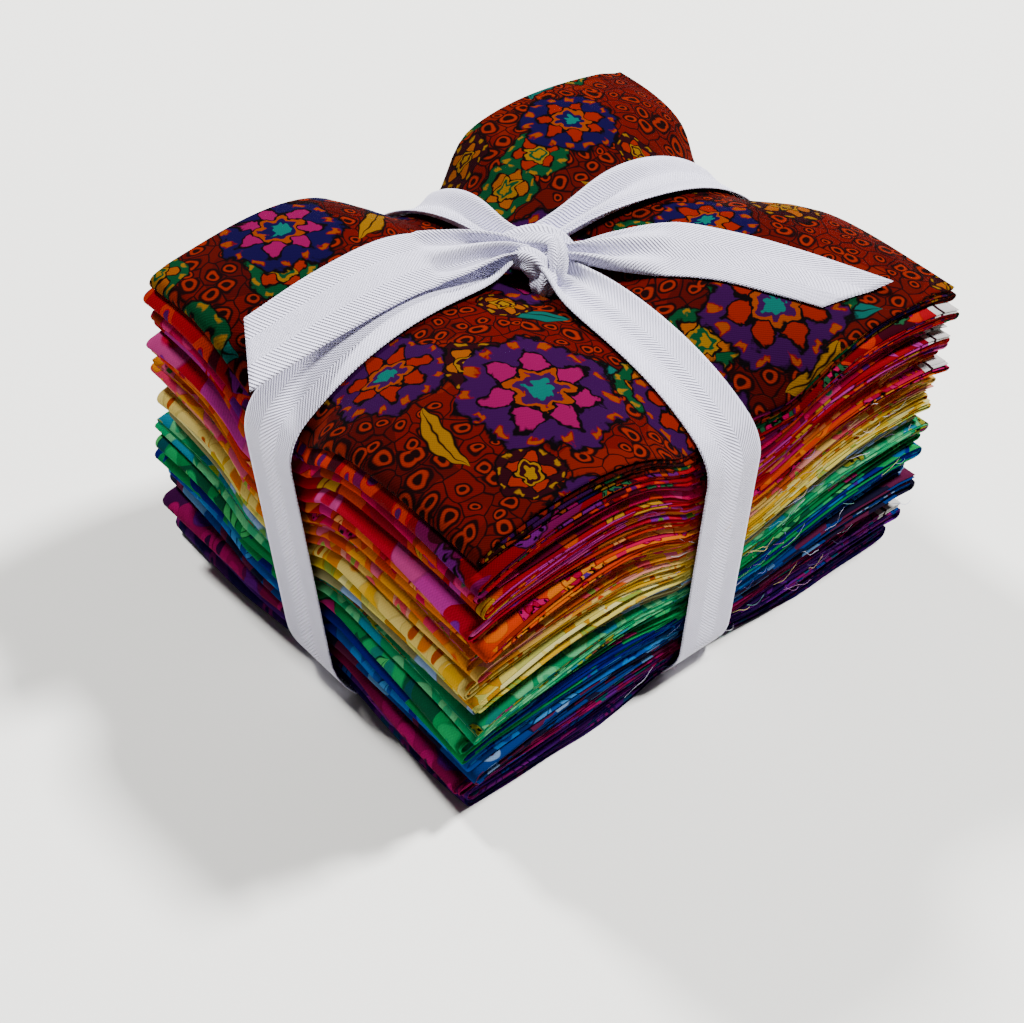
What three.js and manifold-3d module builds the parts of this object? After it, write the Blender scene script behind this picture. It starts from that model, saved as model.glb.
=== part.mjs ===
// A bundle of twenty fat quarters: quilting cottons, each folded in four across and then in a
// letter fold, stacked, and tied crosswise with a twill ribbon that is knotted on top and ends in
// two loose tails. Millimetres, +Z up. The bundle stands on z = 0, its box centred on the origin.
import * as THREE from "three";
import { mergeVertices } from "three/addons/utils/BufferGeometryUtils.js";
import Module from "manifold-3d";

const wasm = await Module();
wasm.setup();

// Driving dimensions
const PACKET_WIDTH = 178; // along X: 7 in, an 18 in side in a letter fold with a short flap
const PACKET_DEPTH = 140; // along Y: 5.5 in, a 22 in side folded in four
const PACKET_COUNT = 20;
const STACK_HEIGHT = 100; // at the corners, where the ribbon doesn't press
const RIBBON_WIDTH = 20;
const RIBBON_THICKNESS = 1;

// One packet's section: three plies of folded cloth in a letter fold
const PACKET_PITCH = STACK_HEIGHT / PACKET_COUNT;
const PLY_THICKNESS = 1.22;
const PLY_GAP = 0.32;
const PACKET_THICKNESS = 3 * PLY_THICKNESS + 2 * PLY_GAP;
const PACKET_GAP = PACKET_PITCH - PACKET_THICKNESS;
const FULL_HEIGHT = STACK_HEIGHT - PACKET_GAP; // top face of the last packet
const FLAP_LENGTH = 102; // the tucked ply, from the inner fold to its free edge
const OUTER_EDGE_INSET = 1.5; // the outer ply's free edge

const HALF_WIDTH = PACKET_WIDTH / 2;
const HALF_DEPTH = PACKET_DEPTH / 2;

const TUCK = 3.5; // how far the ribbon draws in the edges of the lowest packet
const TUCKED_COUNT = 4; // the packets that it draws in, each less than the one below

// The ribbon's two bands: one runs along X, the other along Y
const BAND_X_TOP_Y = 15.5; // where the band along X lies on the top
const BAND_X_FLOOR_Y = -6.5; // and where it passes underneath, so its sides slant
const SLANT_TOP_Z = 84; // the height where the slant ends
const BAND_Y_X = 0;
const BED_HALF = 11; // half width of the bed that a band presses into the cloth
const BAND_GAP = 0.45; // between ribbon and cloth
const FLOOR_BED = RIBBON_THICKNESS + 0.35; // lift of the lowest ply over the ribbon
const SIDE_CLEARANCE = 2.5; // from the nominal packet edge to a band's inner face

// Stations across the stack, shared by all packets, so that their faces run parallel. Past the
// outer ones only the folds and edges of each packet reach on, each as far as it stands out.
const FACE_END_X = 82;
const SHOULDER_X = 52;
const FLANK_X = 25;
const STATIONS_X = [
  -FACE_END_X, -SHOULDER_X, -FLANK_X, -BED_HALF, BED_HALF, FLANK_X, SHOULDER_X, FACE_END_X,
];
const STATIONS_Y = [
  -HALF_DEPTH, BAND_X_FLOOR_Y - BED_HALF, BAND_X_TOP_Y - BED_HALF, BAND_X_TOP_Y + BED_HALF,
  HALF_DEPTH,
];
const RIM_REACH = 1.8; // how far past the even stack a band's straight top runs
const RIM_SLOPE = 0.15; // how the faces fall away past the outer stations

// Where each arm of the ribbon pulls the rim of the stack down. The two spreads are the widths
// of the dip on its low and its high side.
const PINCHES = [
  { side: "left", depth: 18, reach: 24, spreadLow: 10, spreadHigh: 9 },
  { side: "right", depth: 18, reach: 22, spreadLow: 14, spreadHigh: 9 },
  { side: "front", depth: 15.5, reach: 22, spreadLow: 14, spreadHigh: 26 },
  { side: "back", depth: 19, reach: 20, spreadLow: 10, spreadHigh: 7 },
];
const CROWN_HEIGHT = 7; // how far the four pillows between the bands stand up
const BACK_RISE = 2; // the whole top climbs a little from the front corner to the back one
const CENTRE_DIP = 4; // under the knot
const SPREAD_RIGHT = 0.12; // the lower packets lie thicker at the right and left corners
const SPREAD_LEFT = 0.09;
const SPREAD_SCALE = 6.75; // brings the peak of s (1 - s)^2 to 1
const KNOT_RISE = 2.2; // how far the bands lift off the cloth next to the knot
const KNOT_RISE_REACH = 14;
const GATHER = 0.55; // the share of the ribbon's width that is gathered in at the knot
const GATHER_REACH_NEAR = 16; // on the two sides towards the front corner
const GATHER_REACH_FAR = 32;

// How each packet lies, from the floor up: which side its outer fold is on, whether it lies
// face down, and how far its edges stand out of line
const PACKETS = [
  { name: "plum_navy", wrap: "left", face: 1, left: 1.4, right: -1.2, front: 1.2, back: 0.5, skew: 0.3 },
  { name: "violet", wrap: "left", face: 1, left: 1.0, right: 0.6, front: 0.2, back: 0.9, skew: -0.5 },
  { name: "magenta_purple", wrap: "left", face: -1, left: -1.6, right: -0.5, front: 1.2, back: -0.6, skew: 0.6 },
  { name: "mosaic_blue", wrap: "left", face: 1, left: 0.8, right: 0.9, front: -1.0, back: 0.4, skew: -0.2 },
  { name: "river_blue", wrap: "left", face: 1, left: -0.6, right: -1.4, front: 0.6, back: -1.2, skew: 0.5 },
  { name: "cobalt_green", wrap: "left", face: -1, left: -1.5, right: 0.7, front: -0.4, back: 0.8, skew: -0.6 },
  { name: "leaf_green", wrap: "left", face: 1, left: -1.9, right: 1.0, front: 0.3, back: -0.3, skew: 0.2 },
  { name: "sea_green", wrap: "right", face: 1, left: -0.8, right: 1.5, front: -1.3, back: 1.0, skew: 0.7 },
  { name: "olive_sky", wrap: "left", face: -1, left: 0.9, right: -0.8, front: 0.8, back: -0.9, skew: -0.3 },
  { name: "lemon", wrap: "left", face: 1, left: -0.2, right: 0.4, front: -0.8, back: 0.6, skew: 0.4 },
  { name: "gold", wrap: "left", face: 1, left: -1.2, right: -1.0, front: 0.4, back: -1.4, skew: -0.5 },
  { name: "apricot", wrap: "left", face: -1, left: 0.5, right: 1.1, front: -0.3, back: 0.2, skew: 0.3 },
  { name: "tangerine", wrap: "right", face: 1, left: -0.7, right: 0.3, front: 0.9, back: 1.1, skew: -0.4 },
  { name: "coral", wrap: "left", face: 1, left: 0.3, right: 1.6, front: -1.2, back: -0.5, skew: 0.6 },
  { name: "scarlet", wrap: "left", face: -1, left: -0.9, right: -0.2, front: 0.5, back: 0.7, skew: -0.2 },
  { name: "rose_pink", wrap: "left", face: 1, left: -2.2, right: 1.2, front: -0.6, back: -1.0, skew: 0.5 },
  { name: "crimson", wrap: "left", face: 1, left: 0.4, right: -0.6, front: -1.4, back: 0.3, skew: -0.6 },
  { name: "cherry", wrap: "left", face: -1, left: -0.8, right: 1.3, front: 0.7, back: -0.8, skew: 0.3 },
  { name: "garnet", wrap: "left", face: 1, left: -1.3, right: 0.5, front: -0.9, back: 0.9, skew: -0.4 },
  { name: "red_garden", wrap: "left", face: 1, left: 0.2, right: 1.8, front: 0.9, back: 0.8, skew: 0.2 },
];

const COLOURS = {
  plum_navy: 0x241046, violet: 0x4b1763, magenta_purple: 0x7a1450, mosaic_blue: 0x3f5f8c,
  river_blue: 0x1f4f9c, cobalt_green: 0x1d2f8e, leaf_green: 0x2f8a4e, sea_green: 0x2c9a6a,
  olive_sky: 0x9a9a52, lemon: 0xdccb4f, gold: 0xd9a032, apricot: 0xe08a4a, tangerine: 0xdf5a26,
  coral: 0xd8452e, scarlet: 0xc2261f, rose_pink: 0xc63f86, crimson: 0xa3142c, cherry: 0x9c1838,
  garnet: 0x7d1426, red_garden: 0xa52a1a, ribbon: 0xe9e8ef,
};

const clamp01 = (v) => Math.min(1, Math.max(0, v));
const pinchFall = (offset, spreadLow, spreadHigh) => {
  const beyondBed = Math.max(0, Math.abs(offset) - BED_HALF);
  const spread = offset < 0 ? spreadLow : spreadHigh;
  return 1 / (1 + (beyondBed / spread) ** 2);
};

// Height of the top cloth, before it is broken into the flat facets between stations
function topHeight(x, y) {
  const acrossX = Math.sin(Math.PI * clamp01(Math.abs(x - BAND_Y_X) / HALF_WIDTH));
  const span = y < BAND_X_TOP_Y ? BAND_X_TOP_Y + HALF_DEPTH : HALF_DEPTH - BAND_X_TOP_Y;
  const acrossY = Math.sin(Math.PI * clamp01(Math.abs(y - BAND_X_TOP_Y) / span));
  let height = STACK_HEIGHT + CROWN_HEIGHT * acrossX * (0.8 + 0.2 * acrossY) + 1.5 * acrossY;
  const fromKnot = Math.hypot(x - BAND_Y_X, y - BAND_X_TOP_Y) / HALF_DEPTH;
  height -= CENTRE_DIP / (1 + 4 * fromKnot * fromKnot);
  height += (BACK_RISE * (x / HALF_WIDTH + y / HALF_DEPTH + 1)) / 3;
  for (const pinch of PINCHES) {
    const alongX = pinch.side === "left" || pinch.side === "right";
    const toEdge = {
      left: HALF_WIDTH + x, right: HALF_WIDTH - x, front: HALF_DEPTH + y, back: HALF_DEPTH - y,
    }[pinch.side];
    const offset = alongX ? y - BAND_X_TOP_Y : x - BAND_Y_X;
    height -= pinch.depth * Math.exp(-toEdge / pinch.reach)
      * pinchFall(offset, pinch.spreadLow, pinch.spreadHigh);
  }
  return height;
}

// Lift of the lowest cloth over the ribbon that passes underneath
function floorHeight(x, y) {
  const overBandY = Math.abs(x - BAND_Y_X) <= BED_HALF;
  const overBandX = Math.abs(y - BAND_X_FLOOR_Y) <= BED_HALF;
  return overBandX || overBandY ? FLOOR_BED : 0;
}

// A surface of flat facets over the stations. Each cell is split from its low x and y corner to
// its high one. Past the outer stations in x it falls away evenly.
function stationSurface(heightAt, rimSlope) {
  const heights = STATIONS_X.map((x) => STATIONS_Y.map((y) => heightAt(x, y)));
  const cell = (stations, v) => {
    let i = 0;
    while (i < stations.length - 2 && v > stations[i + 1]) i += 1;
    return [i, (v - stations[i]) / (stations[i + 1] - stations[i])];
  };
  return (x, y) => {
    const inX = Math.min(FACE_END_X, Math.max(-FACE_END_X, x));
    const [i, s] = cell(STATIONS_X, inX);
    const [j, t] = cell(STATIONS_Y, y);
    const [low, high] = [heights[i][j], heights[i + 1][j + 1]];
    const side = s > t ? heights[i + 1][j] : heights[i][j + 1];
    const rise = s > t ? s * (side - low) + t * (high - side) : t * (side - low) + s * (high - side);
    return low + rise - rimSlope * Math.abs(x - inX);
  };
}
const topSurface = stationSurface(topHeight, RIM_SLOPE);
const floorSurface = stationSurface(floorHeight, 0);

// Carries a height in the flat, even stack to its place in the tied one
function stackZ(x, y, flatZ) {
  const share = flatZ / FULL_HEIGHT;
  const right = clamp01((x + HALF_WIDTH) / PACKET_WIDTH);
  const back = clamp01((y + HALF_DEPTH) / PACKET_DEPTH);
  const spread = SPREAD_RIGHT * right * (1 - 0.5 * back) + SPREAD_LEFT * back * (1 - 0.5 * right);
  const raised = share + spread * SPREAD_SCALE * share * (1 - share) ** 2;
  const floor = floorSurface(x, y);
  return floor + raised * (topSurface(x, y) - floor);
}

// Half an ellipse that closes a fold: from the face at the lower height round to the upper one,
// out to the right of startX
const foldPoints = (startX, tipX, lowZ, highZ, steps) =>
  Array.from({ length: steps + 1 }, (_, i) => {
    const angle = -Math.PI / 2 + (Math.PI * i) / steps;
    return [
      startX + (tipX - startX) * Math.cos(angle),
      (lowZ + highZ) / 2 + ((highZ - lowZ) / 2) * Math.sin(angle),
    ];
  });

// Outline of the letter fold with its outer fold on the left: bottom ply, inner fold on the
// right, tucked flap, and the top ply that comes round the left. Where the flap ends, the other
// two plies swell and close up over the room that it leaves. left and right are how far the
// folds stand out past the even stack.
function foldOutline(left, right) {
  const [t, g] = [PLY_THICKNESS, PLY_GAP];
  const middle = PACKET_THICKNESS / 2;
  const tucked = HALF_WIDTH - FLAP_LENGTH;
  const free = HALF_WIDTH + right - OUTER_EDGE_INSET;
  const rightward = (z, from, to) =>
    STATIONS_X.filter((x) => x >= from && x <= to).map((x) => [x, z]);
  const leftward = (z, from, to) => rightward(z, from, to).reverse();
  const fold = (tip, lowZ, highZ, steps) => foldPoints(FACE_END_X, tip, lowZ, highZ, steps);
  const mirrored = (points) => points.map(([x, z]) => [-x, z]).reverse();
  return [
    ...rightward(0, -FACE_END_X + 1, FACE_END_X - 1),
    ...fold(HALF_WIDTH + right, 0, 2 * t + g, 3),
    ...leftward(2 * t + g, tucked, FACE_END_X - 1),
    [tucked, 2 * t + g],
    [tucked, t + g],
    ...rightward(t + g, tucked, FACE_END_X - 1),
    ...fold(HALF_WIDTH + right - t, t, t + g, 2).reverse(),
    ...leftward(t, tucked, FACE_END_X - 1),
    [tucked - g, t],
    [tucked - g - t, middle - g / 2],
    ...leftward(middle - g / 2, -FACE_END_X + 1, tucked),
    ...mirrored(fold(HALF_WIDTH - left - t, middle - g / 2, middle + g / 2, 2)).reverse(),
    ...rightward(middle + g / 2, -FACE_END_X + 1, tucked),
    [tucked - g - t, middle + g / 2],
    [tucked - g, 2 * t + 2 * g],
    ...rightward(2 * t + 2 * g, tucked, FACE_END_X),
    [free, 2 * t + 2 * g],
    [free, PACKET_THICKNESS],
    ...leftward(PACKET_THICKNESS, -FACE_END_X + 1, FACE_END_X),
    ...mirrored(fold(HALF_WIDTH - left, 0, PACKET_THICKNESS, 4)),
  ];
}

// Triangles over a flat outline. It is bent sharply at each station while it is divided, so that
// no triangle reaches past one and all stay inside the cloth when the stack is bent there.
function capTriangles(outline) {
  const bend = (x) => STATIONS_X.reduce((sum, station) => sum + Math.abs(x - station), 0);
  const bent = outline.map(([x, z]) => new THREE.Vector2(x, z + bend(x)));
  return THREE.ShapeUtils.triangulateShape(bent, []);
}

// A mesh from closed rings of points, front to back: sides between neighbours, and the two caps.
// Diagonals run from low x and y to high x and y on every face, so that stacked faces nest.
// caps holds the triangles that close an end.
function ringSolid(rings, caps) {
  const count = rings[0].length;
  const index = [];
  for (let j = 0; j + 1 < rings.length; j += 1) {
    for (let k = 0; k < count; k += 1) {
      const a = j * count + k;
      const b = j * count + ((k + 1) % count);
      const c = a + count;
      const d = b + count;
      if (rings[j][(k + 1) % count][0] >= rings[j][k][0]) index.push(a, d, b, a, c, d);
      else index.push(a, c, b, b, c, d);
    }
  }
  const last = (rings.length - 1) * count;
  for (const [a, b, c] of caps) index.push(a, b, c, last + a, last + c, last + b);
  const geometry = new THREE.BufferGeometry();
  geometry.setAttribute("position", new THREE.Float32BufferAttribute(rings.flat(2), 3));
  geometry.setIndex(index);
  return geometry;
}

// A small, steady wave that keeps edges from looking ruled
const waver = (number, station) => 0.5 * Math.sin(2.1 * number + 1.7 * station);
// Edges stand out of line more at the corners than where the ribbon holds them
const slack = (share) => 0.5 + 1.2 * share * share;

function packetGeometry(packet, number) {
  const tuck = TUCK * clamp01(1 - number / TUCKED_COUNT);
  const tuckAlong = (offset) => (Math.abs(offset) <= BED_HALF + 3 ? tuck : 0);
  const outlineAt = (left, right) => {
    let outline = packet.wrap === "left" ? foldOutline(left, right) : foldOutline(-right, -left);
    if (packet.wrap === "right") outline = outline.map(([x, z]) => [-x, z]).reverse();
    if (packet.face < 0) outline = outline.map(([x, z]) => [x, PACKET_THICKNESS - z]).reverse();
    return outline;
  };
  const rings = STATIONS_Y.map((stationY, j) => {
    const slackY = slack(stationY / HALF_DEPTH);
    const tuckX = tuckAlong(stationY - BAND_X_FLOOR_Y);
    const left = packet.left * slackY + waver(number, j) + tuckX;
    const right = packet.right * slackY + waver(number + 3, j) - tuckX;
    return outlineAt(left, right).map(([x, z]) => {
      const shareX = x / HALF_WIDTH;
      let y = stationY;
      const tuckY = tuckAlong(x - BAND_Y_X);
      if (j === 0) y += packet.front * slack(shareX) + packet.skew * shareX + tuckY;
      if (j === STATIONS_Y.length - 1) y += packet.back - tuckY;
      return [x, y, stackZ(x, y, number * PACKET_PITCH + z)];
    });
  });
  return ringSolid(rings, capTriangles(outlineAt(0, 0)));
}

// The ribbon

// Six times a mesh's volume, negative where its faces point inwards
function signedVolume(positions, order) {
  const corner = (i) => new THREE.Vector3().fromArray(positions, 3 * order[i]);
  let total = 0;
  for (let i = 0; i < order.length; i += 3) {
    total += corner(i).dot(corner(i + 1).cross(corner(i + 2)));
  }
  return total;
}

function asOutwardSolid(geometry) {
  const positions = new Float32Array(geometry.getAttribute("position").array);
  const order = Array.from(geometry.index.array);
  if (signedVolume(positions, order) < 0) order.reverse();
  return new wasm.Manifold(new wasm.Mesh({
    numProp: 3, vertProperties: positions, triVerts: new Uint32Array(order),
  }));
}

// A flat strip through stations, each with its four corners in order round the section
function stripGeometry(stations, closed) {
  const index = [];
  const total = stations.length;
  const spans = closed ? total : total - 1;
  for (let i = 0; i < spans; i += 1) {
    const [here, next] = [4 * i, 4 * ((i + 1) % total)];
    for (let k = 0; k < 4; k += 1) {
      const m = (k + 1) % 4;
      index.push(here + k, here + m, next + m, here + k, next + m, next + k);
    }
  }
  if (!closed) {
    const end = 4 * (total - 1);
    index.push(0, 2, 1, 0, 3, 2, end, end + 1, end + 2, end, end + 2, end + 3);
  }
  const geometry = new THREE.BufferGeometry();
  geometry.setAttribute("position", new THREE.Float32BufferAttribute(stations.flat(2), 3));
  geometry.setIndex(index);
  return geometry;
}

// The inner face of a band, seen along its width: over the top, down one side, under, and up
// the other. u is the coordinate along the band, topZ the cloth's height at u, and creases are
// the places on the top where the cloth bends.
function bandProfile(half, topZ, knotU, creases) {
  const side = half + SIDE_CLEARANCE;
  const knotRise = (u) => KNOT_RISE / (1 + ((u - knotU) / KNOT_RISE_REACH) ** 4);
  const down = (rimZ, s) => [
    [s * (side - 0.2), rimZ - 2.5],
    [s * side, rimZ - 8],
    [s * side, rimZ * 0.45],
    [s * side, PACKET_PITCH * TUCKED_COUNT],
    [s * (side - 0.45 * TUCK), PACKET_PITCH * 1.8],
    [s * (side - 0.85 * TUCK), PACKET_PITCH * 0.55],
    [s * (side - 1.2 * TUCK), RIBBON_THICKNESS],
  ];
  const underneath = [half - 12, 0, 12 - half];
  return [
    ...creases.map((u) => [u, topZ(u) + BAND_GAP + knotRise(u)]),
    [half + RIM_REACH, topZ(half + RIM_REACH) + BAND_GAP],
    ...down(topZ(half), 1),
    ...underneath.map((u) => [u, RIBBON_THICKNESS]),
    ...down(topZ(-half), -1).reverse(),
    [-half - RIM_REACH, topZ(-half - RIM_REACH) + BAND_GAP],
  ];
}

// Moves a closed profile outwards by the ribbon's thickness, mitred at its corners
function offsetProfile(points, distance) {
  const total = points.length;
  const normal = ([ax, az], [bx, bz]) => {
    const length = Math.hypot(bx - ax, bz - az);
    return [-(bz - az) / length, (bx - ax) / length];
  };
  return points.map((point, i) => {
    const before = normal(points[(i + total - 1) % total], point);
    const after = normal(point, points[(i + 1) % total]);
    const sum = [before[0] + after[0], before[1] + after[1]];
    const scale = (2 * distance) / (sum[0] ** 2 + sum[1] ** 2);
    return [point[0] + sum[0] * scale, point[1] + sum[1] * scale];
  });
}

// A closed band round the stack. place(u, v, z) gives the point at u along the band and v
// across it. Near the knot the band is gathered to a narrow rope, over a longer stretch on the
// sides away from the front corner.
function bandGeometry({ half, topAt, lateral, place, knotU, creases }) {
  const gather = (u, z) => {
    const reach = u < knotU ? GATHER_REACH_NEAR : GATHER_REACH_FAR;
    return z > STACK_HEIGHT * 0.75 ? 1 - GATHER / (1 + ((u - knotU) / reach) ** 4) : 1;
  };
  const edges = [-1, 1].map((edge) => {
    const topZ = (u) => topAt(u, lateral(1) + (edge * RIBBON_WIDTH) / 2);
    const inner = bandProfile(half, topZ, knotU, creases);
    return { inner, outer: offsetProfile(inner, RIBBON_THICKNESS) };
  });
  const stations = edges[0].inner.map((_, i) => {
    const corner = (edge, face) => {
      const [u, z] = edges[edge][face][i];
      const [innerU, innerZ] = edges[edge].inner[i];
      const across = ((edge * 2 - 1) * RIBBON_WIDTH * gather(innerU, innerZ)) / 2;
      return place(u, lateral(clamp01(innerZ / SLANT_TOP_Z)) + across, z);
    };
    return [corner(0, "inner"), corner(1, "inner"), corner(1, "outer"), corner(0, "outer")];
  });
  return stripGeometry(stations, true);
}

// The knot: a trefoil of gathered ribbon round a full middle
const KNOT = { x: 2, y: 11, lift: 7, radius: 3.3, strand: 2.4, stretch: 1.5 };
KNOT.z = topSurface(KNOT.x, KNOT.y) + KNOT.lift;

function knotParts() {
  const strand = new THREE.TorusKnotGeometry(KNOT.radius, KNOT.strand, 40, 7, 2, 3);
  const middle = new THREE.SphereGeometry(KNOT.radius + 0.8, 10, 6);
  return [strand, middle].map((geometry) => {
    geometry.scale(1, 1, KNOT.stretch);
    geometry.translate(KNOT.x, KNOT.y, KNOT.z);
    return geometry;
  });
}

// The loose tails, from the knot out: the strip's back edge and its front edge at each row. They
// stand tilted towards the front, and the last row is the slanted cut.
const TAIL_LEFT = [
  { back: [-1, 14, 102.5], front: [-1, 9, 101.5] },
  { back: [-8, 19, 106.5], front: [-10, 12, 103.5] },
  { back: [-20, 27, 108.5], front: [-23, 13, 103] },
  { back: [-36, 34, 109.2], front: [-41, 14.5, 103.6] },
  { back: [-60, 33.5, 108.8], front: [-66, 15, 101.2] },
  { back: [-83.5, 32.5, 105], front: [-95.2, 14, 98] },
];
const TAIL_RIGHT = [
  { back: [3, 13, 102], front: [1, 7, 101.5] },
  { back: [10, 6, 104.5], front: [6, 0, 103] },
  { back: [22, 1, 106.5], front: [12, -10, 104] },
  { back: [35, -8, 108.5], front: [20.5, -20, 104.5] },
  { back: [46, -22.5, 108.5], front: [29.5, -32, 104.2] },
  { back: [55.5, -38.4, 107.6], front: [37, -44.7, 102.8] },
  { back: [69, -61.7, 104.6], front: [45, -57, 102.2] },
];

function tailGeometry(rows) {
  const points = rows.map(({ back, front }) => ({
    back: new THREE.Vector3(...back), front: new THREE.Vector3(...front),
  }));
  const stations = points.map(({ back, front }, i) => {
    const ahead = points[Math.min(i + 1, points.length - 1)];
    const behind = points[Math.max(i - 1, 0)];
    const heading = ahead.front.clone().sub(behind.front);
    const lift = new THREE.Vector3().crossVectors(heading, front.clone().sub(back)).normalize();
    lift.multiplyScalar(Math.sign(lift.z) * RIBBON_THICKNESS);
    const raised = (point) => point.clone().add(lift);
    const section = [back, front, raised(front), raised(back)];
    return section.map((point) => point.toArray());
  });
  return stripGeometry(stations, false);
}

// Joins closed pieces into one solid
function joined(geometries) {
  const solids = geometries.map((geometry) => {
    const bare = geometry.index ? geometry.clone() : mergeVertices(geometry);
    bare.deleteAttribute("normal");
    bare.deleteAttribute("uv");
    return asOutwardSolid(mergeVertices(bare, 1e-4));
  });
  const mesh = solids.reduce((all, next) => all.add(next)).getMesh();
  const result = new THREE.BufferGeometry();
  result.setAttribute("position", new THREE.Float32BufferAttribute(mesh.vertProperties, 3));
  result.setIndex(Array.from(mesh.triVerts));
  return result;
}

function ribbonGeometry() {
  const alongX = bandGeometry({
    half: HALF_WIDTH,
    topAt: (u, v) => topSurface(u, v),
    lateral: (up) => BAND_X_FLOOR_Y + (BAND_X_TOP_Y - BAND_X_FLOOR_Y) * up,
    place: (u, v, z) => [u, v, z],
    knotU: KNOT.x,
    creases: [-FACE_END_X, -68, -SHOULDER_X, -38, -FLANK_X, -BED_HALF,
      BED_HALF, FLANK_X, 38, SHOULDER_X, 68, FACE_END_X],
  });
  const alongY = bandGeometry({
    half: HALF_DEPTH,
    topAt: (u, v) => topSurface(v, u),
    lateral: () => BAND_Y_X,
    place: (u, v, z) => [v, u, z],
    knotU: KNOT.y,
    creases: [-60, -46, -32, STATIONS_Y[1], -6, STATIONS_Y[2], 16, STATIONS_Y[3], 40, 56],
  });
  return joined([
    alongX, alongY, ...knotParts(), tailGeometry(TAIL_LEFT), tailGeometry(TAIL_RIGHT),
  ]);
}

function namedMesh(name, geometry, colour, roughness) {
  const material = new THREE.MeshStandardMaterial({ color: colour, roughness, metalness: 0 });
  const mesh = new THREE.Mesh(geometry, material);
  mesh.name = name;
  return mesh;
}

const bundle = new THREE.Group();
bundle.name = "fat_quarter_bundle";
PACKETS.forEach((packet, number) => {
  const label = `quarter_${String(number + 1).padStart(2, "0")}_${packet.name}`;
  bundle.add(namedMesh(label, packetGeometry(packet, number), COLOURS[packet.name], 0.9));
});
bundle.add(namedMesh("ribbon_tie", ribbonGeometry(), COLOURS.ribbon, 0.75));

// The overhanging tail makes the box lopsided, so the bundle moves to put the box over the origin
const middle = new THREE.Box3().setFromObject(bundle).getCenter(new THREE.Vector3());
bundle.position.set(-middle.x, -middle.y, 0);

export default bundle;
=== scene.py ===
import math
import bpy
import bmesh
import numpy as np
from mathutils import Matrix, Vector


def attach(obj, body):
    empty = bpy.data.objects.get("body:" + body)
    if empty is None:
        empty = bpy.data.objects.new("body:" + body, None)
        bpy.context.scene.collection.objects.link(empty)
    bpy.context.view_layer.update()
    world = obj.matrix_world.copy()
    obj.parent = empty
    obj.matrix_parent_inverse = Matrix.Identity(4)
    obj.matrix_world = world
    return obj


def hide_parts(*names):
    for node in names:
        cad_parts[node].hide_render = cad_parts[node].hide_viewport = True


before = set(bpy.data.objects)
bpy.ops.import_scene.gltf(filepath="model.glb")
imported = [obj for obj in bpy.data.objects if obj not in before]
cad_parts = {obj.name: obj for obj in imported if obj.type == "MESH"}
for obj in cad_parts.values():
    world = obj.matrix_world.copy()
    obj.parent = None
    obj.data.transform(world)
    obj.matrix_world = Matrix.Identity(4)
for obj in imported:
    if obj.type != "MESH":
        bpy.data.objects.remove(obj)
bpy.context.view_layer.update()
millimetre = 0.001
mergeDistance = 1e-6

# The stack, in millimetres, before shiftX puts the box of the whole bundle over the origin
stack = {
    "halfWidth": 89.0,
    "halfDepth": 70.0,
    "height": 100.0,
    "count": 20,
    "layerPitch": 0.383,      # from one layer of cotton to the next
    "clothThickness": 0.24,
    "seat": 0.1,              # of each packet on the one below
    "lowest": 0.2,            # no layer's middle lies lower than this over the table
    "shiftX": 1.4,            # the left tail overhangs, so the packets lie a little to the right
    "topY": 15.5,             # where the band along X crosses the top
    "floorY": -6.5,           # and the underside, so it slants on its way down
    "slantTop": 84.0,
    "bedHalf": 11.0,          # half width of the bed that a band presses into the cloth
    "crown": 7.0,             # of each pillow on top
    "crownEven": 0.8,         # share of the crown that runs through from front to back
    "arch": 1.5,
    "backRise": 2.0,
    "centreDip": 4.0,         # under the knot
    "dipFade": 4.0,
    "spreadRight": 0.12,      # how much looser the lower layers lie towards that side
    "spreadLeft": 0.09,
    "floorLift": 1.35,        # over the ribbon that passes underneath
    "liftFade": 2.3,          # where the lift ends, in half widths of the bed
    "tuck": 4.0,              # how far the ribbon draws in the lowest edges
    "tuckHeight": 24.0,
    "tuckFrom": 7.0,
    "tuckReach": 48.0,
    "draw": 4.0,              # and how far it draws in the topmost edges where it turns down
    "drawHeight": 78.0,
    "drawFrom": 9.0,
    "drawReach": 26.0,
}

# Where each arm of the ribbon pulls the rim down: depth, reach inwards, spread on its two sides
pinches = {
    "left": (18.0, 24.0, 10.0, 9.0),
    "right": (18.0, 22.0, 14.0, 9.0),
    "front": (15.5, 22.0, 14.0, 26.0),
    "back": (19.0, 20.0, 10.0, 7.0),
}

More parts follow.
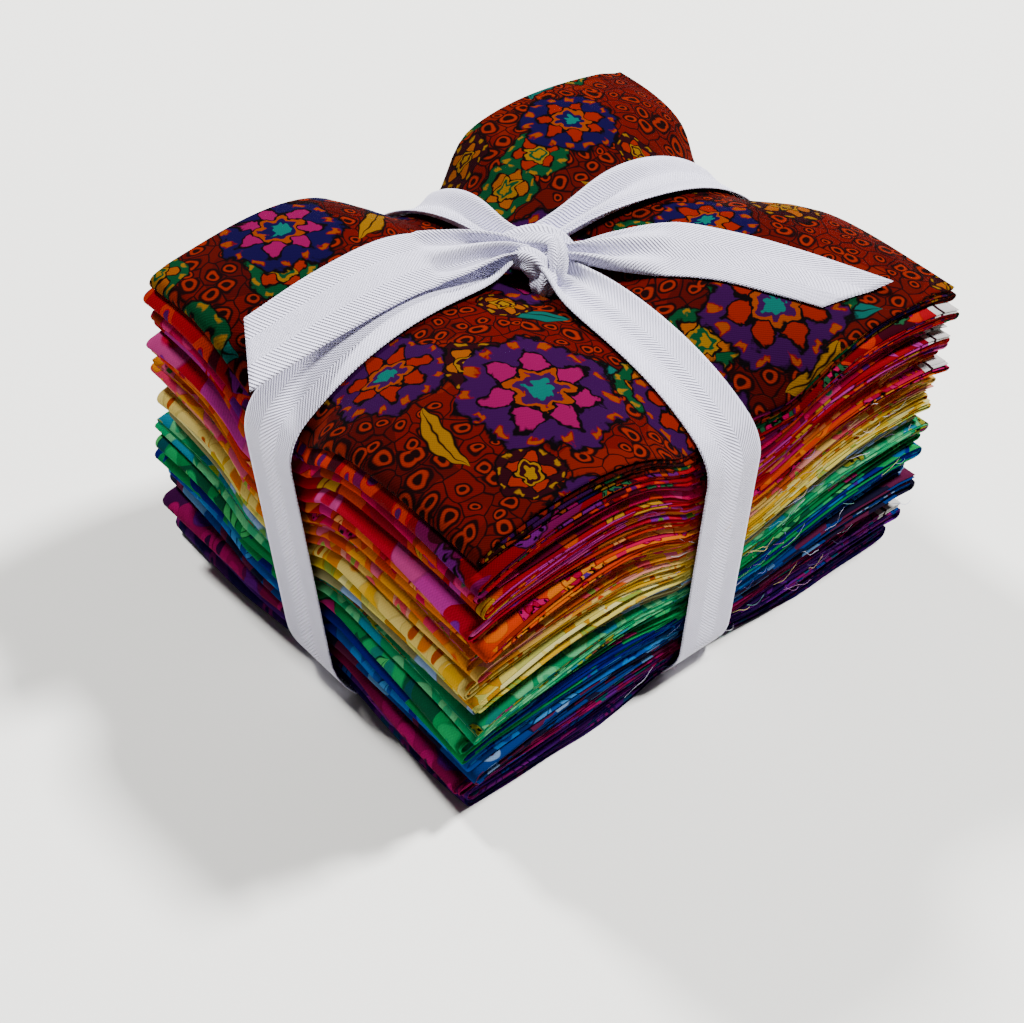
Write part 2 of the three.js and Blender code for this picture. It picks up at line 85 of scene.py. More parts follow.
# Each fat quarter from the floor up: side of its outer fold, face up or down, how far its left,
# right, front and back edges stand out of line, and how askew its front edge lies
quarters = [
    {"name": "plum_navy", "wrap": 1, "face": 1, "edges": (1.4, -1.2, 1.2, 0.5), "skew": 0.3},
    {"name": "violet", "wrap": 1, "face": 1, "edges": (1.0, 0.6, 0.2, 0.9), "skew": -0.5},
    {"name": "magenta_purple", "wrap": 1, "face": -1, "edges": (-1.6, -0.5, 1.2, -0.6), "skew": 0.6},
    {"name": "mosaic_blue", "wrap": 1, "face": 1, "edges": (0.8, 0.9, -1.0, 0.4), "skew": -0.2},
    {"name": "river_blue", "wrap": 1, "face": 1, "edges": (-0.6, -1.4, 0.6, -1.2), "skew": 0.5},
    {"name": "cobalt_green", "wrap": 1, "face": -1, "edges": (-1.5, 0.7, -0.4, 0.8), "skew": -0.6},
    {"name": "leaf_green", "wrap": 1, "face": 1, "edges": (-1.9, 1.0, 0.3, -0.3), "skew": 0.2},
    {"name": "sea_green", "wrap": -1, "face": 1, "edges": (-0.8, 1.5, -1.3, 1.0), "skew": 0.7},
    {"name": "olive_sky", "wrap": 1, "face": -1, "edges": (0.9, -0.8, 0.8, -0.9), "skew": -0.3},
    {"name": "lemon", "wrap": 1, "face": 1, "edges": (-0.2, 0.4, -0.8, 0.6), "skew": 0.4},
    {"name": "gold", "wrap": 1, "face": 1, "edges": (-1.2, -1.0, 0.4, -1.4), "skew": -0.5},
    {"name": "apricot", "wrap": 1, "face": -1, "edges": (0.5, 1.1, -0.3, 0.2), "skew": 0.3},
    {"name": "tangerine", "wrap": -1, "face": 1, "edges": (-0.7, 0.3, 0.9, 1.1), "skew": -0.4},
    {"name": "coral", "wrap": 1, "face": 1, "edges": (0.3, 1.6, -1.2, -0.5), "skew": 0.6},
    {"name": "scarlet", "wrap": 1, "face": -1, "edges": (-0.9, -0.2, 0.5, 0.7), "skew": -0.2},
    {"name": "rose_pink", "wrap": 1, "face": 1, "edges": (-2.2, 1.2, -0.6, -1.0), "skew": 0.5},
    {"name": "crimson", "wrap": 1, "face": 1, "edges": (0.4, -0.6, -1.4, 0.3), "skew": -0.6},
    {"name": "cherry", "wrap": 1, "face": -1, "edges": (-0.8, 1.3, 0.7, -0.8), "skew": 0.3},
    {"name": "garnet", "wrap": 1, "face": 1, "edges": (-1.3, 0.5, -0.9, 0.9), "skew": -0.4},
    {"name": "red_garden", "wrap": 1, "face": 1, "edges": (0.2, 1.8, 0.9, 0.8), "skew": 0.2},
]

# The flat cut in metres, and in millimetres how it is folded: in four across, then a letter fold
cut = {
    "width": 0.457,
    "length": 0.559,
    "flap": 101.0,            # how far the tucked end reaches in
    "outerInset": 1.5,
    "selvage": 10.0,          # the white woven edge, on the end that closes the letter fold
    "selvageLine": 1.2,
    "selvageOn": ("garnet", "cherry", "crimson", "rose_pink", "coral", "river_blue", "violet"),
}


def smooth(low, high, value):
    t = np.clip((value - low) / (high - low), 0.0, 1.0)
    return t * t * (3.0 - 2.0 * t)


def fallAcross(offset, spreadLow, spreadHigh):
    beyondBed = np.maximum(0.0, np.abs(offset) - stack["bedHalf"])
    spread = np.where(offset < 0, spreadLow, spreadHigh)
    return 1.0 / (1.0 + (beyondBed / spread) ** 2)


def topHeight(x, y):
    halfWidth, halfDepth, topY = stack["halfWidth"], stack["halfDepth"], stack["topY"]
    acrossX = np.sin(np.pi * np.clip(np.abs(x) / halfWidth, 0.0, 1.0))
    span = np.where(y < topY, topY + halfDepth, halfDepth - topY)
    acrossY = np.sin(np.pi * np.clip(np.abs(y - topY) / span, 0.0, 1.0))
    even = stack["crownEven"]
    height = stack["height"] + stack["arch"] * acrossY
    height = height + stack["crown"] * acrossX * (even + (1.0 - even) * acrossY)
    fromKnot = np.hypot(x, y - topY) / halfDepth
    height = height - stack["centreDip"] / (1.0 + stack["dipFade"] * fromKnot ** 2)
    height = height + stack["backRise"] * (x / halfWidth + y / halfDepth + 1.0) / 3.0
    toEdge = {
        "left": halfWidth + x, "right": halfWidth - x, "front": halfDepth + y, "back": halfDepth - y,
    }
    for side, (depth, reach, spreadLow, spreadHigh) in pinches.items():
        offset = y - topY if side in ("left", "right") else x
        fall = fallAcross(offset, spreadLow, spreadHigh)
        height = height - depth * np.exp(-np.maximum(0.0, toEdge[side]) / reach) * fall
    return height


def floorLift(x, y):
    near, far = stack["bedHalf"], stack["liftFade"] * stack["bedHalf"]
    offBands = np.minimum(smooth(near, far, np.abs(x)), smooth(near, far, np.abs(y - stack["floorY"])))
    return stack["floorLift"] * (1.0 - offBands)


# Carries a height in the flat, even stack to its place in the tied one
def carryUp(x, y, flat):
    share = flat / stack["height"]
    right = np.clip(0.5 + 0.5 * x / stack["halfWidth"], 0.0, 1.0)
    back = np.clip(0.5 + 0.5 * y / stack["halfDepth"], 0.0, 1.0)
    spread = stack["spreadRight"] * right * (1.0 - 0.5 * back)
    spread = spread + stack["spreadLeft"] * back * (1.0 - 0.5 * right)
    peak = 4.0 / 27.0         # the highest value of the curve that follows
    raised = share + spread * share * (1.0 - share) ** 2 / peak
    floor = floorLift(x, y)
    return floor + raised * (topHeight(x, y) - floor)


def bandY(height):
    rise = np.clip(height / stack["slantTop"], 0.0, 1.0)
    return stack["floorY"] + (stack["topY"] - stack["floorY"]) * rise


# Three sines that don't fall in step: size, and the shares of a, b and the seed in each
ripples = [(0.5, 1.0, 0.0, 1.3), (0.3, 1.9, 1.0, 2.1), (0.35, -0.6, 0.7, 3.7)]


def wave(a, b, seed):
    return sum(size * np.sin(ofA * a + ofB * b + ofSeed * seed) for size, ofA, ofB, ofSeed in ripples)


# The turns of the folds. Bulges are a turn's reach against half its height, the rest millimetres.
folds = {
    "bulge": 1.35,
    "innerBulge": 1.2,
    "outerBulge": 1.3,
    "opened": 1.5,            # how much further the layers part where the flap doesn't reach
    "openedOver": (-12.0, 2.0),
    "innerPoints": 5,
    "outerPoints": 7,
    "backInset": 0.6,
    "frontInset": 0.5,
    "sideInset": 0.3,
    "rawWander": (0.3, 0.9),
    "frontWander": 0.6,
}


# Angles of the points round a turn, without its two ends
def turnAngles(start, count):
    return np.linspace(start, -start, count + 2)[1:-1]


# The section across Y: a flat sheet folded in half and in half again. Returns the place along Y,
# the height in the pile of four layers, and the distance along the flat cut. Here and in foldAlong,
# a number beside the pitch counts layers: four to a ply, twelve in all.
def foldAcross(steps, seed):
    pitch, depth, bulge = stack["layerPitch"], stack["halfDepth"], folds["bulge"]
    wanderFirst, wanderLast = folds["rawWander"]
    back = depth - 1.5 * pitch * bulge
    innerBack = back - folds["backInset"]
    rawFirst = -depth + wanderFirst * math.sin(seed)
    rawLast = -depth + wanderLast * math.sin(1.7 * seed + 1)
    turnFront = -depth + 0.5 * pitch + folds["frontInset"] + folds["frontWander"] * math.sin(2.3 * seed)
    # Each run's start, end and layer, then each turn's way, middle, half height, points and sense
    runs = [
        (rawFirst, back, 0.5), (back, turnFront, 3.5),
        (turnFront, innerBack, 2.5), (innerBack, rawLast, 1.5),
    ]
    turns = [(1, 2.0, 1.5, 5, 1), (-1, 3.0, 0.5, 3, -1), (1, 2.0, 0.5, 3, -1)]
    along, height = [], []
    for index, (start, end, layer) in enumerate(runs):
        along.append(start + (end - start) * steps)
        height.append(np.full(len(steps), layer * pitch))
        if index < len(turns):
            way, middle, rise, count, up = turns[index]
            angles = turnAngles(-up * math.pi / 2, count)
            along.append(end + way * rise * pitch * bulge * np.cos(angles))
            height.append((middle + rise * np.sin(angles)) * pitch)
    along, height = np.concatenate(along), np.concatenate(height)
    travelled = np.concatenate([[0], np.cumsum(np.hypot(np.diff(along), np.diff(height)))])
    return along, height, travelled * cut["length"] / travelled[-1]


# The section along X: the pile's letter fold, from the tucked flap round the inner fold, along the
# bottom ply, round the outer fold and along the top ply. Returns the middle of the pile, the way
# from its outer to its inner face, how far its layers part, and the distance along the cut.
def foldAlong(steps, flapSteps):
    pitch, half = stack["layerPitch"], stack["halfWidth"]
    flapEnd = half - cut["flap"]
    innerReach, outerReach = pitch * folds["innerBulge"], pitch * folds["outerBulge"]
    innerTurn = half - folds["sideInset"] - 3.5 * innerReach
    outerTurn = half - 5.25 * outerReach
    openFrom, openTo = folds["openedOver"]

    def parted(x):
        return 1.0 + (folds["opened"] - 1.0) * (1.0 - smooth(flapEnd + openFrom, flapEnd + openTo, x))

    rows = []
    for x in flapEnd + (innerTurn - flapEnd) * flapSteps:
        rows.append((x, 6 * pitch, 0.0, -1.0, 1.0))
    for angle in turnAngles(math.pi / 2, folds["innerPoints"]):
        x, z = innerTurn + 2 * innerReach * math.cos(angle), 4 * pitch + 2 * pitch * math.sin(angle)
        rows.append((x, z, -math.cos(angle), -math.sin(angle), 1.0))
    for x in innerTurn - (innerTurn + outerTurn) * steps:
        rows.append((x, 2 * pitch * parted(x), 0.0, 1.0, parted(x)))
    for angle in turnAngles(-math.pi / 2, folds["outerPoints"]):
        x, z = -outerTurn - 3 * outerReach * math.cos(angle), 6 * pitch + 3 * pitch * math.sin(angle)
        rows.append((x, z, math.cos(angle), -math.sin(angle), folds["opened"]))
    for x in -outerTurn + (half - cut["outerInset"] + outerTurn) * steps:
        rows.append((x, 12 * pitch - 2 * pitch * parted(x), 0.0, -1.0, parted(x)))
    rows = np.array(rows)
    travelled = np.concatenate([[0], np.cumsum(np.hypot(np.diff(rows[:, 0]), np.diff(rows[:, 1])))])
    return rows, travelled * cut["width"] / travelled[-1]


# Makes a grid in the bmesh and moves its points to the given places, in millimetres
def addGrid(bm, places, flat):
    rows, columns = places.shape[:2]
    uvLayer = bm.loops.layers.uv.get("flatCut") or bm.loops.layers.uv.new("flatCut")
    made = bmesh.ops.create_grid(bm, x_segments=rows - 1, y_segments=columns - 1, size=0.5)["verts"]
    spots = {}
    for vert in made:
        i = round((vert.co.x + 0.5) * (rows - 1))
        j = round((vert.co.y + 0.5) * (columns - 1))
        spots[vert] = (i, j)
    for vert, (i, j) in spots.items():
        vert.co = places[i, j] * millimetre
    faces = {face for vert in made for face in vert.link_faces}
    for face in faces:
        face.smooth = True
        for loop in face.loops:
            loop[uvLayer].uv = flat[spots[loop.vert]]


def addObject(name, data):
    made = bpy.data.objects.new(name, data)
    bpy.context.scene.collection.objects.link(made)
    return made


def finishPiece(bm, name, material, nodes, thickness):
    mesh = bpy.data.meshes.new(name)
    bm.to_mesh(mesh)
    bm.free()
    piece = addObject(name, mesh)
    mesh.materials.append(material)
    if thickness:
        wall = piece.modifiers.new("clothThickness", "SOLIDIFY")
        wall.thickness = thickness * millimetre
        wall.offset = 0.0
    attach(piece, "root")
    if nodes:
        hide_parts(*nodes)
    return piece


# Steps from 0 to 1 that lie closer together near both ends
def closeEnds(count, power):
    t = np.linspace(-1.0, 1.0, count)
    return 0.5 + 0.5 * np.sign(t) * (1.0 - (1.0 - np.abs(t)) ** power)


# How finely the cloths are divided: points on each run of a fold, for most of them and for the top
grids = {
    "across": (25, 54),
    "along": (29, 66),
    "flap": (12, 20),
    "closerAcross": 1.35,     # how much closer the points lie near the folds
    "closerAlong": 1.3,
}

# How the edges of a folded cloth wander, gape and droop, in millimetres
edges = {
    "fade": 3,                # how fast an edge's own shape fades towards the middle
    "slack": (0.5, 1.2),      # share of its offset in the middle, and what the corners add
    "held": 0.2,              # share of the wander that is left under a band
    "heldTo": 30.0,
    "left": (0.55, 21.0, 37.0, 0),      # height, two wave lengths and a shift of the seed
    "right": (0.7, 19.0, 60.0, 4),
    "front": (0.55, 26.0, 47.0, 7),
    "frontFine": (0.35, 9.0, 31.0, 0),
    "back": (0.5, 24.0, 41.0, 2),
    "gapeFade": 6,
    "gapeX": (0.3, 13.0, 0.62, 0.0),    # height, wave length, turn for each millimetre up, start
    "gapeY": (0.28, 11.0, -0.55, 1.0),
    "gapeAbove": 9.0,
    "droop": 0.15,
    "droopBeyond": 82.0,
    "droopAbove": 14.0,
}


def wander(edge, a, b, number):
    height, lengthA, lengthB, shift = edges[edge]
    return height * wave(a / lengthA, b / lengthB, number + shift)


def gape(way, place, flat):
    height, length, turn, start = edges[way]
    return height * np.sin(place / length + turn * flat + start)


# How much the edges still wander near a band, and how far it draws them in
def heldBy(fromBand, flat):
    calm = edges["held"] + (1.0 - edges["held"]) * smooth(stack["bedHalf"], edges["heldTo"], fromBand)
    nearFloor = np.clip(1 - flat / stack["tuckHeight"], 0, 1) ** 2
    nearTop = np.clip((flat - stack["drawHeight"]) / (stack["height"] - stack["drawHeight"]), 0, 1) ** 1.5
    tuck = stack["tuck"] * nearFloor * (1 - smooth(stack["tuckFrom"], stack["tuckReach"], fromBand))
    draw = stack["draw"] * nearTop * (1 - smooth(stack["drawFrom"], stack["drawReach"], fromBand))
    return calm, tuck + draw


def makeQuarter(number, quarter):
    pitch, isTop = stack["layerPitch"], number == stack["count"] - 1
    across, along, flap = [grids[key][isTop] for key in ("across", "along", "flap")]
    placeY, pile, alongCut = foldAcross(closeEnds(across, grids["closerAcross"]), number)
    alongSteps, flapSteps = [closeEnds(count, grids["closerAlong"]) for count in (along, flap)]
    rows, acrossCut = foldAlong(alongSteps, flapSteps)
    rowX, rowZ, inwardX, inwardZ, part = [rows[:, k][:, None] for k in range(5)]
    fromMiddle = (pile[None, :] - 2 * pitch) * part
    x = quarter["wrap"] * (rowX + fromMiddle * inwardX)
    y = np.broadcast_to(placeY[None, :], x.shape).copy()
    z = rowZ + fromMiddle * inwardZ
    if quarter["face"] < 0:
        z = 12 * pitch - z
    u, v = acrossCut[:, None] / millimetre, alongCut[None, :] / millimetre
    flat = number * stack["height"] / stack["count"] + stack["seat"] + z
    shareX, shareY = x / stack["halfWidth"], y / stack["halfDepth"]
    left, right, front, back = quarter["edges"]
    towardLeft, towardRight, towardFront, towardBack = [
        np.clip(share, 0, 1) ** edges["fade"] for share in (-shareX, shareX, -shareY, shareY)
    ]
    calmX, drawnX = heldBy(np.abs(y - bandY(flat)), flat)
    calmY, drawnY = heldBy(np.abs(x), flat)
    even, corners = edges["slack"]
    slackX, slackY = even + corners * shareX ** 2, even + corners * shareY ** 2
    x = x + towardLeft * (calmX * (left * slackY + wander("left", y, y, number)) + drawnX)
    x = x + towardRight * (calmX * (right * slackY + wander("right", y, v, number)) - drawnX)
    frontWander = wander("front", u, v, number) + wander("frontFine", u, v, number)
    y = y + towardFront * (calmY * (front * slackX + quarter["skew"] * shareX + frontWander) + drawnY)
    y = y + towardBack * (calmY * (back * slackX + wander("back", x, x, number)) - drawnY)
    z = carryUp(x, y, flat)
    rim = np.maximum(np.abs(shareX), np.abs(shareY)) ** edges["gapeFade"]
    loose = rim * np.minimum(calmX, calmY) * smooth(0.0, edges["gapeAbove"], flat)
    z = z + loose * (gape("gapeX", x, flat) + gape("gapeY", y, flat))
    beyond = np.maximum(0.0, np.abs(x) - edges["droopBeyond"])
    z = z - edges["droop"] * beyond * smooth(0.0, edges["droopAbove"], flat)
    z = np.maximum(z, stack["lowest"])
    places = np.stack([x + stack["shiftX"], y, z], axis=-1)
    cutPlace = np.stack(np.broadcast_arrays(acrossCut[:, None], alongCut[None, :]), axis=-1)
    bm = bmesh.new()
    addGrid(bm, places, cutPlace)
    name = quarter["name"]
    piece = finishPiece(bm, f"fatQuarter_{name}", printMaterial(name), [f"quarter_{number + 1:02d}_{name}"],
                        stack["clothThickness"])
    return piece


# The ribbon, in millimetres
ribbon = {
    "width": 20.0,
    "thickness": 0.35,
    "colour": "#eae7ff",
    "twillColumns": 3,
    "twillPitch": 1.15,       # along the ribbon, from one rib to the next
    "twillSlope": 1.1,
    "pickPitch": 0.5,
    "columns": 25,            # points across, and then along each stretch of an arm
    "rowsOnTop": 34,
    "rowsOnRim": 9,
    "rowsOnSide": 25,
    "rowsUnder": 9,
    "gap": 0.05,
    "rimStart": 4.4,          # how far inside the rim the turn down begins
    "rimGap": 0.3,
    "leastSlope": 0.2,
    "standOff": 1.5,          # from the packets' even edge to the ribbon on the sides
    "turnUnder": 14.0,        # how far above its foot it begins to curl in under the stack
    "curlIn": 6.0,
    "foot": 0.9,
    "underSlanting": 0.25,    # heights under the stack of the two bands that cross there
    "underStraight": 0.7,
    "slantWidth": 1.035,      # how much wider the slanting band is, measured level
    "gather": 0.55,
    "gatherNear": 16.0,
    "gatherFar": 32.0,
    "pleats": 4,
    "finePleats": 0.75,
    "widePleats": 0.5,
    "pleatLift": 0.9,
    "knot": (2.0, 11.0),
    "knotRise": 2.6,
    "knotReach": 14.0,
    "knotSeat": 1.0,
}


# How deep the pleats stand where the ribbon is gathered to less than its width
def pleatDepth(gathered):
    return 0.5 * np.sqrt(np.maximum(0.0, ribbon["width"] ** 2 - gathered ** 2)) / ribbon["pleats"]


def stepsDown(count):
    return np.linspace(1.0, 0.0, count + 1)[1:]


# One arm over the top, from the knot out to one side, down it and under to the middle. u runs along
# the arm and v across it, lateral gives the arm's middle at a height, put turns u and v into x and
# y, and slant is how much wider the arm lies on its side.
def bandPlaces(half, knotU, side, lateral, put, slant):
    outer, rimU = half + ribbon["standOff"], side * (half - ribbon["rimStart"])
    reach = ribbon["gatherNear"] if side < 0 else ribbon["gatherFar"]
    under = ribbon["underSlanting"] if slant > 1.0 else ribbon["underStraight"]
    topV, floorV, foot = lateral(stack["slantTop"]), lateral(0.0), ribbon["foot"]

    def overCloth(u, v):
        return float(topHeight(*put(u, v))) + ribbon["gap"]

    columns = []
    for share in np.linspace(-0.5, 0.5, ribbon["columns"]):
        line = []
        offset, turns = share * ribbon["width"], ribbon["pleats"] * math.pi * share
        for u in knotU + (rimU - knotU) * np.linspace(0, 1, ribbon["rowsOnTop"]):
            fromKnot = abs(u - knotU)
            gathered = ribbon["width"] * (1.0 - ribbon["gather"] / (1.0 + (fromKnot / reach) ** 4))
            v = topV + share * gathered
            pleat = ribbon["finePleats"] * math.cos(turns + side)
            pleat = pleat - ribbon["widePleats"] * math.cos(turns / 2)
            rise = ribbon["knotRise"] / (1.0 + (fromKnot / ribbon["knotReach"]) ** 4)
            rise = rise + pleatDepth(gathered) * (ribbon["pleatLift"] + pleat)
            atRim = fromKnot / abs(side * half - knotU)
            line.append((u, v, overCloth(u, v) + ribbon["rimGap"] * atRim ** 4 + rise))
        rimV = topV + offset
        rimZ = overCloth(rimU, rimV) + ribbon["rimGap"]
        slope = overCloth(rimU, rimV) - overCloth(rimU + side, rimV)
        steepest = math.pi / 2 - math.atan(max(slope, ribbon["leastSlope"]))
        turn = (outer - abs(rimU)) / (1.0 - math.cos(steepest))
        sideTop = rimZ - turn * math.sin(steepest)
        shift = topV - floorV
        lean = 0.5 * shift * turn * steepest / sideTop
        for angle in stepsDown(ribbon["rowsOnRim"]):
            u = side * (outer - turn + turn * math.cos(steepest * angle))
            v = rimV + offset * (slant - 1.0) * (1.0 - angle) - lean * (1.0 - angle) ** 2
            line.append((u, v, sideTop + turn * math.sin(steepest * angle)))
        for height in stepsDown(ribbon["rowsOnSide"]):
            z = foot + (sideTop - foot) * height
            curl = max(0.0, 1.0 - (z - foot) / ribbon["turnUnder"]) ** 2
            u = side * (outer - ribbon["curlIn"] * curl)
            line.append((u, floorV + (shift - lean) * height + offset * slant, z))
        for level in stepsDown(ribbon["rowsUnder"]):
            line.append((side * (outer - ribbon["curlIn"]) * level, floorV + offset * slant, under))
        columns.append(line)
    return np.array(columns)


def wayLengths(places):
    middle = places[places.shape[0] // 2]
    return np.concatenate([[0], np.cumsum(np.linalg.norm(np.diff(middle, axis=0), axis=1))])


def addStrip(bm, places, startAt):
    lengths = wayLengths(places)
    widths = np.linspace(0, ribbon["width"], places.shape[0])
    flat = np.stack(np.broadcast_arrays(widths[:, None], (startAt + lengths)[None, :]), axis=-1)
    addGrid(bm, places + np.array([stack["shiftX"], 0.0, 0.0]), flat * millimetre)
    return lengths[-1]


# A smooth curve through the points, at even shares of their number
def smoothRows(points, count):
    points = np.array(points, float)
    steps = np.linspace(0, len(points) - 1, count)
    padded = np.concatenate([[2 * points[0] - points[1]], points, [2 * points[-1] - points[-2]]])
    k = np.minimum(steps.astype(int), len(points) - 2)
    t = (steps - k)[:, None]
    a, b, c, d = padded[k], padded[k + 1], padded[k + 2], padded[k + 3]
    bend, twist = 2 * a - 5 * b + 4 * c - d, 3 * b - a - 3 * c + d
    return 0.5 * (2 * b + (c - a) * t + bend * t ** 2 + twist * t ** 3)


# The loose tails, in millimetres: the back edge and the front edge at points from the knot out
tails = {
    "rows": 60,
    "pleatedRows": 30,        # those nearest the knot
    "columns": 21,
    "arch": 0.7,
    "archSpan": (0.2, 2.9),   # the stretch of a sine that the arch follows along a tail
    "rimGap": 0.5,
    "settle": 0.06,           # how softly a tail comes to rest on the cloth
    "left": {
        "seed": 0.4,
        "back": [(-1, 14, 102.5), (-8, 19, 106.5), (-20, 27, 108.5), (-36, 34, 109.2),
                 (-60, 33.5, 108.8), (-83.5, 32.5, 105)],
        "front": [(-1, 9, 101.5), (-10, 12, 103.5), (-23, 13, 103), (-41, 14.5, 103.6),
                  (-66, 15, 101.2), (-95.2, 14, 98)],
    },
    "right": {
        "seed": 1.9,
        "back": [(3, 13, 102), (10, 6, 104.5), (22, 1, 106.5), (35, -8, 108.5),
                 (46, -22.5, 108.5), (55.5, -38.4, 107.6), (69, -61.7, 104.6)],
        "front": [(1, 7, 101.5), (6, 0, 103), (12, -10, 103.4), (20.5, -20, 103),
                  (29.5, -32, 102.6), (37, -44.7, 101.3), (45, -57, 100.8)],
    },
}


def tailPlaces(tail):
    count = tails["rows"]
    back, front = smoothRows(tail["back"], count), smoothRows(tail["front"], count)
    shares = np.linspace(0, 1, tails["columns"])[:, None, None]
    places = back[None] * (1 - shares) + front[None] * shares
    across = front - back
    along = np.gradient((back + front) / 2, axis=0)
    lift = np.cross(along, across)
    lift = lift / np.linalg.norm(lift, axis=1)[:, None] * np.sign(lift[:, 2:3])
    inner = shares[:, :, 0]
    pleated = np.arange(count) < tails["pleatedRows"]
    pleat = pleatDepth(np.linalg.norm(across, axis=1)) * pleated
    pleat = pleat * np.cos(ribbon["pleats"] * math.pi * inner + tail["seed"])
    arch = tails["arch"] * np.sin(math.pi * inner) * np.sin(np.linspace(*tails["archSpan"], count))
    places = places + (pleat + arch)[:, :, None] * lift[None]
    x, y = places[:, :, 0], places[:, :, 1]
    rim = np.maximum(np.abs(x) / stack["halfWidth"], np.abs(y) / stack["halfDepth"])
    cloth = topHeight(x, y) + ribbon["gap"] + tails["rimGap"] * np.minimum(rim, 1.0) ** 6
    over = places[:, :, 2] - cloth
    places[:, :, 2] = cloth + 0.5 * (over + np.sqrt(over ** 2 + tails["settle"]))
    return places


# The strands of the knot, in millimetres: points with their heights over the cloth, the two radii
# at each point, and how deeply a strand is creased
strands = {
    "rows": 40,
    "round": 28,
    "creases": 5,
    "creaseTwist": 0.04,
    "fineCreases": 9,
    "fineTwist": -0.09,
    "fineDepth": 0.06,
    "wound": [
        {"points": [(-3, 21, 3.5), (0, 16, 6.5), (3.5, 11, 8), (6.5, 7, 6.5), (8, 4, 3)],
         "radii": [(3.0, 1.8), (4.0, 2.6), (4.4, 2.9), (3.8, 2.6), (2.6, 1.8)], "depth": 0.13},
        {"points": [(5, 12, 7), (4.5, 7.5, 8.5), (2.2, 3.6, 7.4), (-0.2, 1.2, 4), (-0.5, 1.5, 0.8)],
         "radii": [(2.2, 1.8), (2.9, 2.2), (3.1, 2.3), (2.8, 2.1), (2.2, 1.6)], "depth": 0.1},
        {"points": [(-6.5, 12.5, 5.5), (-4.5, 8.5, 6.8), (-3.6, 5, 5), (-3.0, 3.2, 2)],
         "radii": [(2.4, 2.0), (3.3, 2.6), (3.3, 2.6), (2.4, 2.0)], "depth": 0.14},
        {"points": [(-0.5, 6, 4.6), (-3.0, 3.4, 4.0), (-5.4, 1.2, 2.6), (-6.4, 0.4, 0.4)],
         "radii": [(2.4, 2.0), (3.2, 2.2), (3.6, 2.0), (2.6, 1.0)], "depth": 0.2},
    ],
}


def strandPlaces(strand, base, seed):
    rows, around = strands["rows"], strands["round"]
    centres = smoothRows([(x, y, base + up) for x, y, up in strand["points"]], rows)
    sizes = smoothRows([(first, second, 0) for first, second in strand["radii"]], rows)
    along = np.gradient(centres, axis=0)
    along = along / np.linalg.norm(along, axis=1)[:, None]
    sideways = np.array(Vector(along[0]).orthogonal().normalized())
    places = np.zeros((around + 1, rows, 3))
    for j in range(rows):
        sideways = sideways - along[j] * (sideways @ along[j])
        sideways = sideways / np.linalg.norm(sideways)
        upward = np.cross(along[j], sideways)
        for i in range(around + 1):
            angle = 2 * math.pi * i / around
            crease = math.cos(strands["creases"] * angle + seed + strands["creaseTwist"] * j)
            fine = math.cos(strands["fineCreases"] * angle + strands["fineTwist"] * j)
            fold = 1 + strand["depth"] * crease + strands["fineDepth"] * fine
            places[i, j] = (centres[j] + sideways * sizes[j, 0] * fold * math.cos(angle)
                            + upward * sizes[j, 1] * fold * math.sin(angle))
    return places


def makeRibbon():
    bm = bmesh.new()
    knotX, knotY = ribbon["knot"]
    total = 0.0
    slant = ribbon["slantWidth"]
    for side in (-1, 1):
        places = bandPlaces(stack["halfWidth"], knotX, side, bandY, lambda u, v: (u, v), slant)
        total += addStrip(bm, places, total)
        places = bandPlaces(stack["halfDepth"], knotY, side, lambda z: 0.0, lambda u, v: (v, u), 1.0)
        total += addStrip(bm, places[:, :, [1, 0, 2]], total)
    for tail in ("left", "right"):
        total += addStrip(bm, tailPlaces(tails[tail]), total)
    base = float(topHeight(knotX, knotY)) + ribbon["knotSeat"]
    for seed, strand in enumerate(strands["wound"]):
        total += addStrip(bm, strandPlaces(strand, base, seed), total)
    bmesh.ops.remove_doubles(bm, verts=bm.verts, dist=mergeDistance)
    piece = finishPiece(bm, "ribbonTie", ribbonMaterial(), ["ribbon_tie"], ribbon["thickness"])


# Shader building
def paint(code):
    channels = [int(code[k:k + 2], 16) / 255 for k in (1, 3, 5)]
    linear = [c / 12.92 if c <= 0.04045 else ((c + 0.055) / 1.055) ** 2.4 for c in channels]
    return (*linear, 1.0)


def feed(tree, node, inputs):
    for key, value in inputs.items():
        if isinstance(value, bpy.types.NodeSocket):
            tree.links.new(value, node.inputs[key])
        else:
            node.inputs[key].default_value = value
    return node


def addNode(tree, kind, inputs, **settings):
    node = tree.nodes.new(kind)
    for key, value in settings.items():
        setattr(node, key, value)
    return feed(tree, node, inputs)


def calc(tree, operation, *values):
    return addNode(tree, "ShaderNodeMath", dict(enumerate(values)), operation=operation).outputs[0]


def arrow(tree, operation, *values):
    node = addNode(tree, "ShaderNodeVectorMath", dict(enumerate(values)), operation=operation)
    return node.outputs["Value" if operation in ("LENGTH", "DISTANCE", "DOT_PRODUCT") else 0]


def blend(tree, factor, first, second):
    return addNode(tree, "ShaderNodeMix", {0: factor, 6: first, 7: second}, data_type="RGBA").outputs[2]


def noise(tree, place, scale, detail):
    return addNode(tree, "ShaderNodeTexNoise", {
        "Vector": place, "Scale": scale, "Detail": detail}, noise_dimensions="2D").outputs


def cells(tree, place, jitter, **settings):
    return addNode(tree, "ShaderNodeTexVoronoi", {
        "Vector": place, "Scale": 1.0, "Randomness": jitter}, voronoi_dimensions="2D", **settings).outputs


def split(tree, place):
    return addNode(tree, "ShaderNodeSeparateXYZ", {0: place}).outputs


# A place divided by a spacing along both ways of the cloth
def scaleDown(tree, place, spacing):
    both = addNode(tree, "ShaderNodeCombineXYZ", {0: spacing, 1: spacing, 2: 1.0}).outputs[0]
    return arrow(tree, "DIVIDE", place, both)


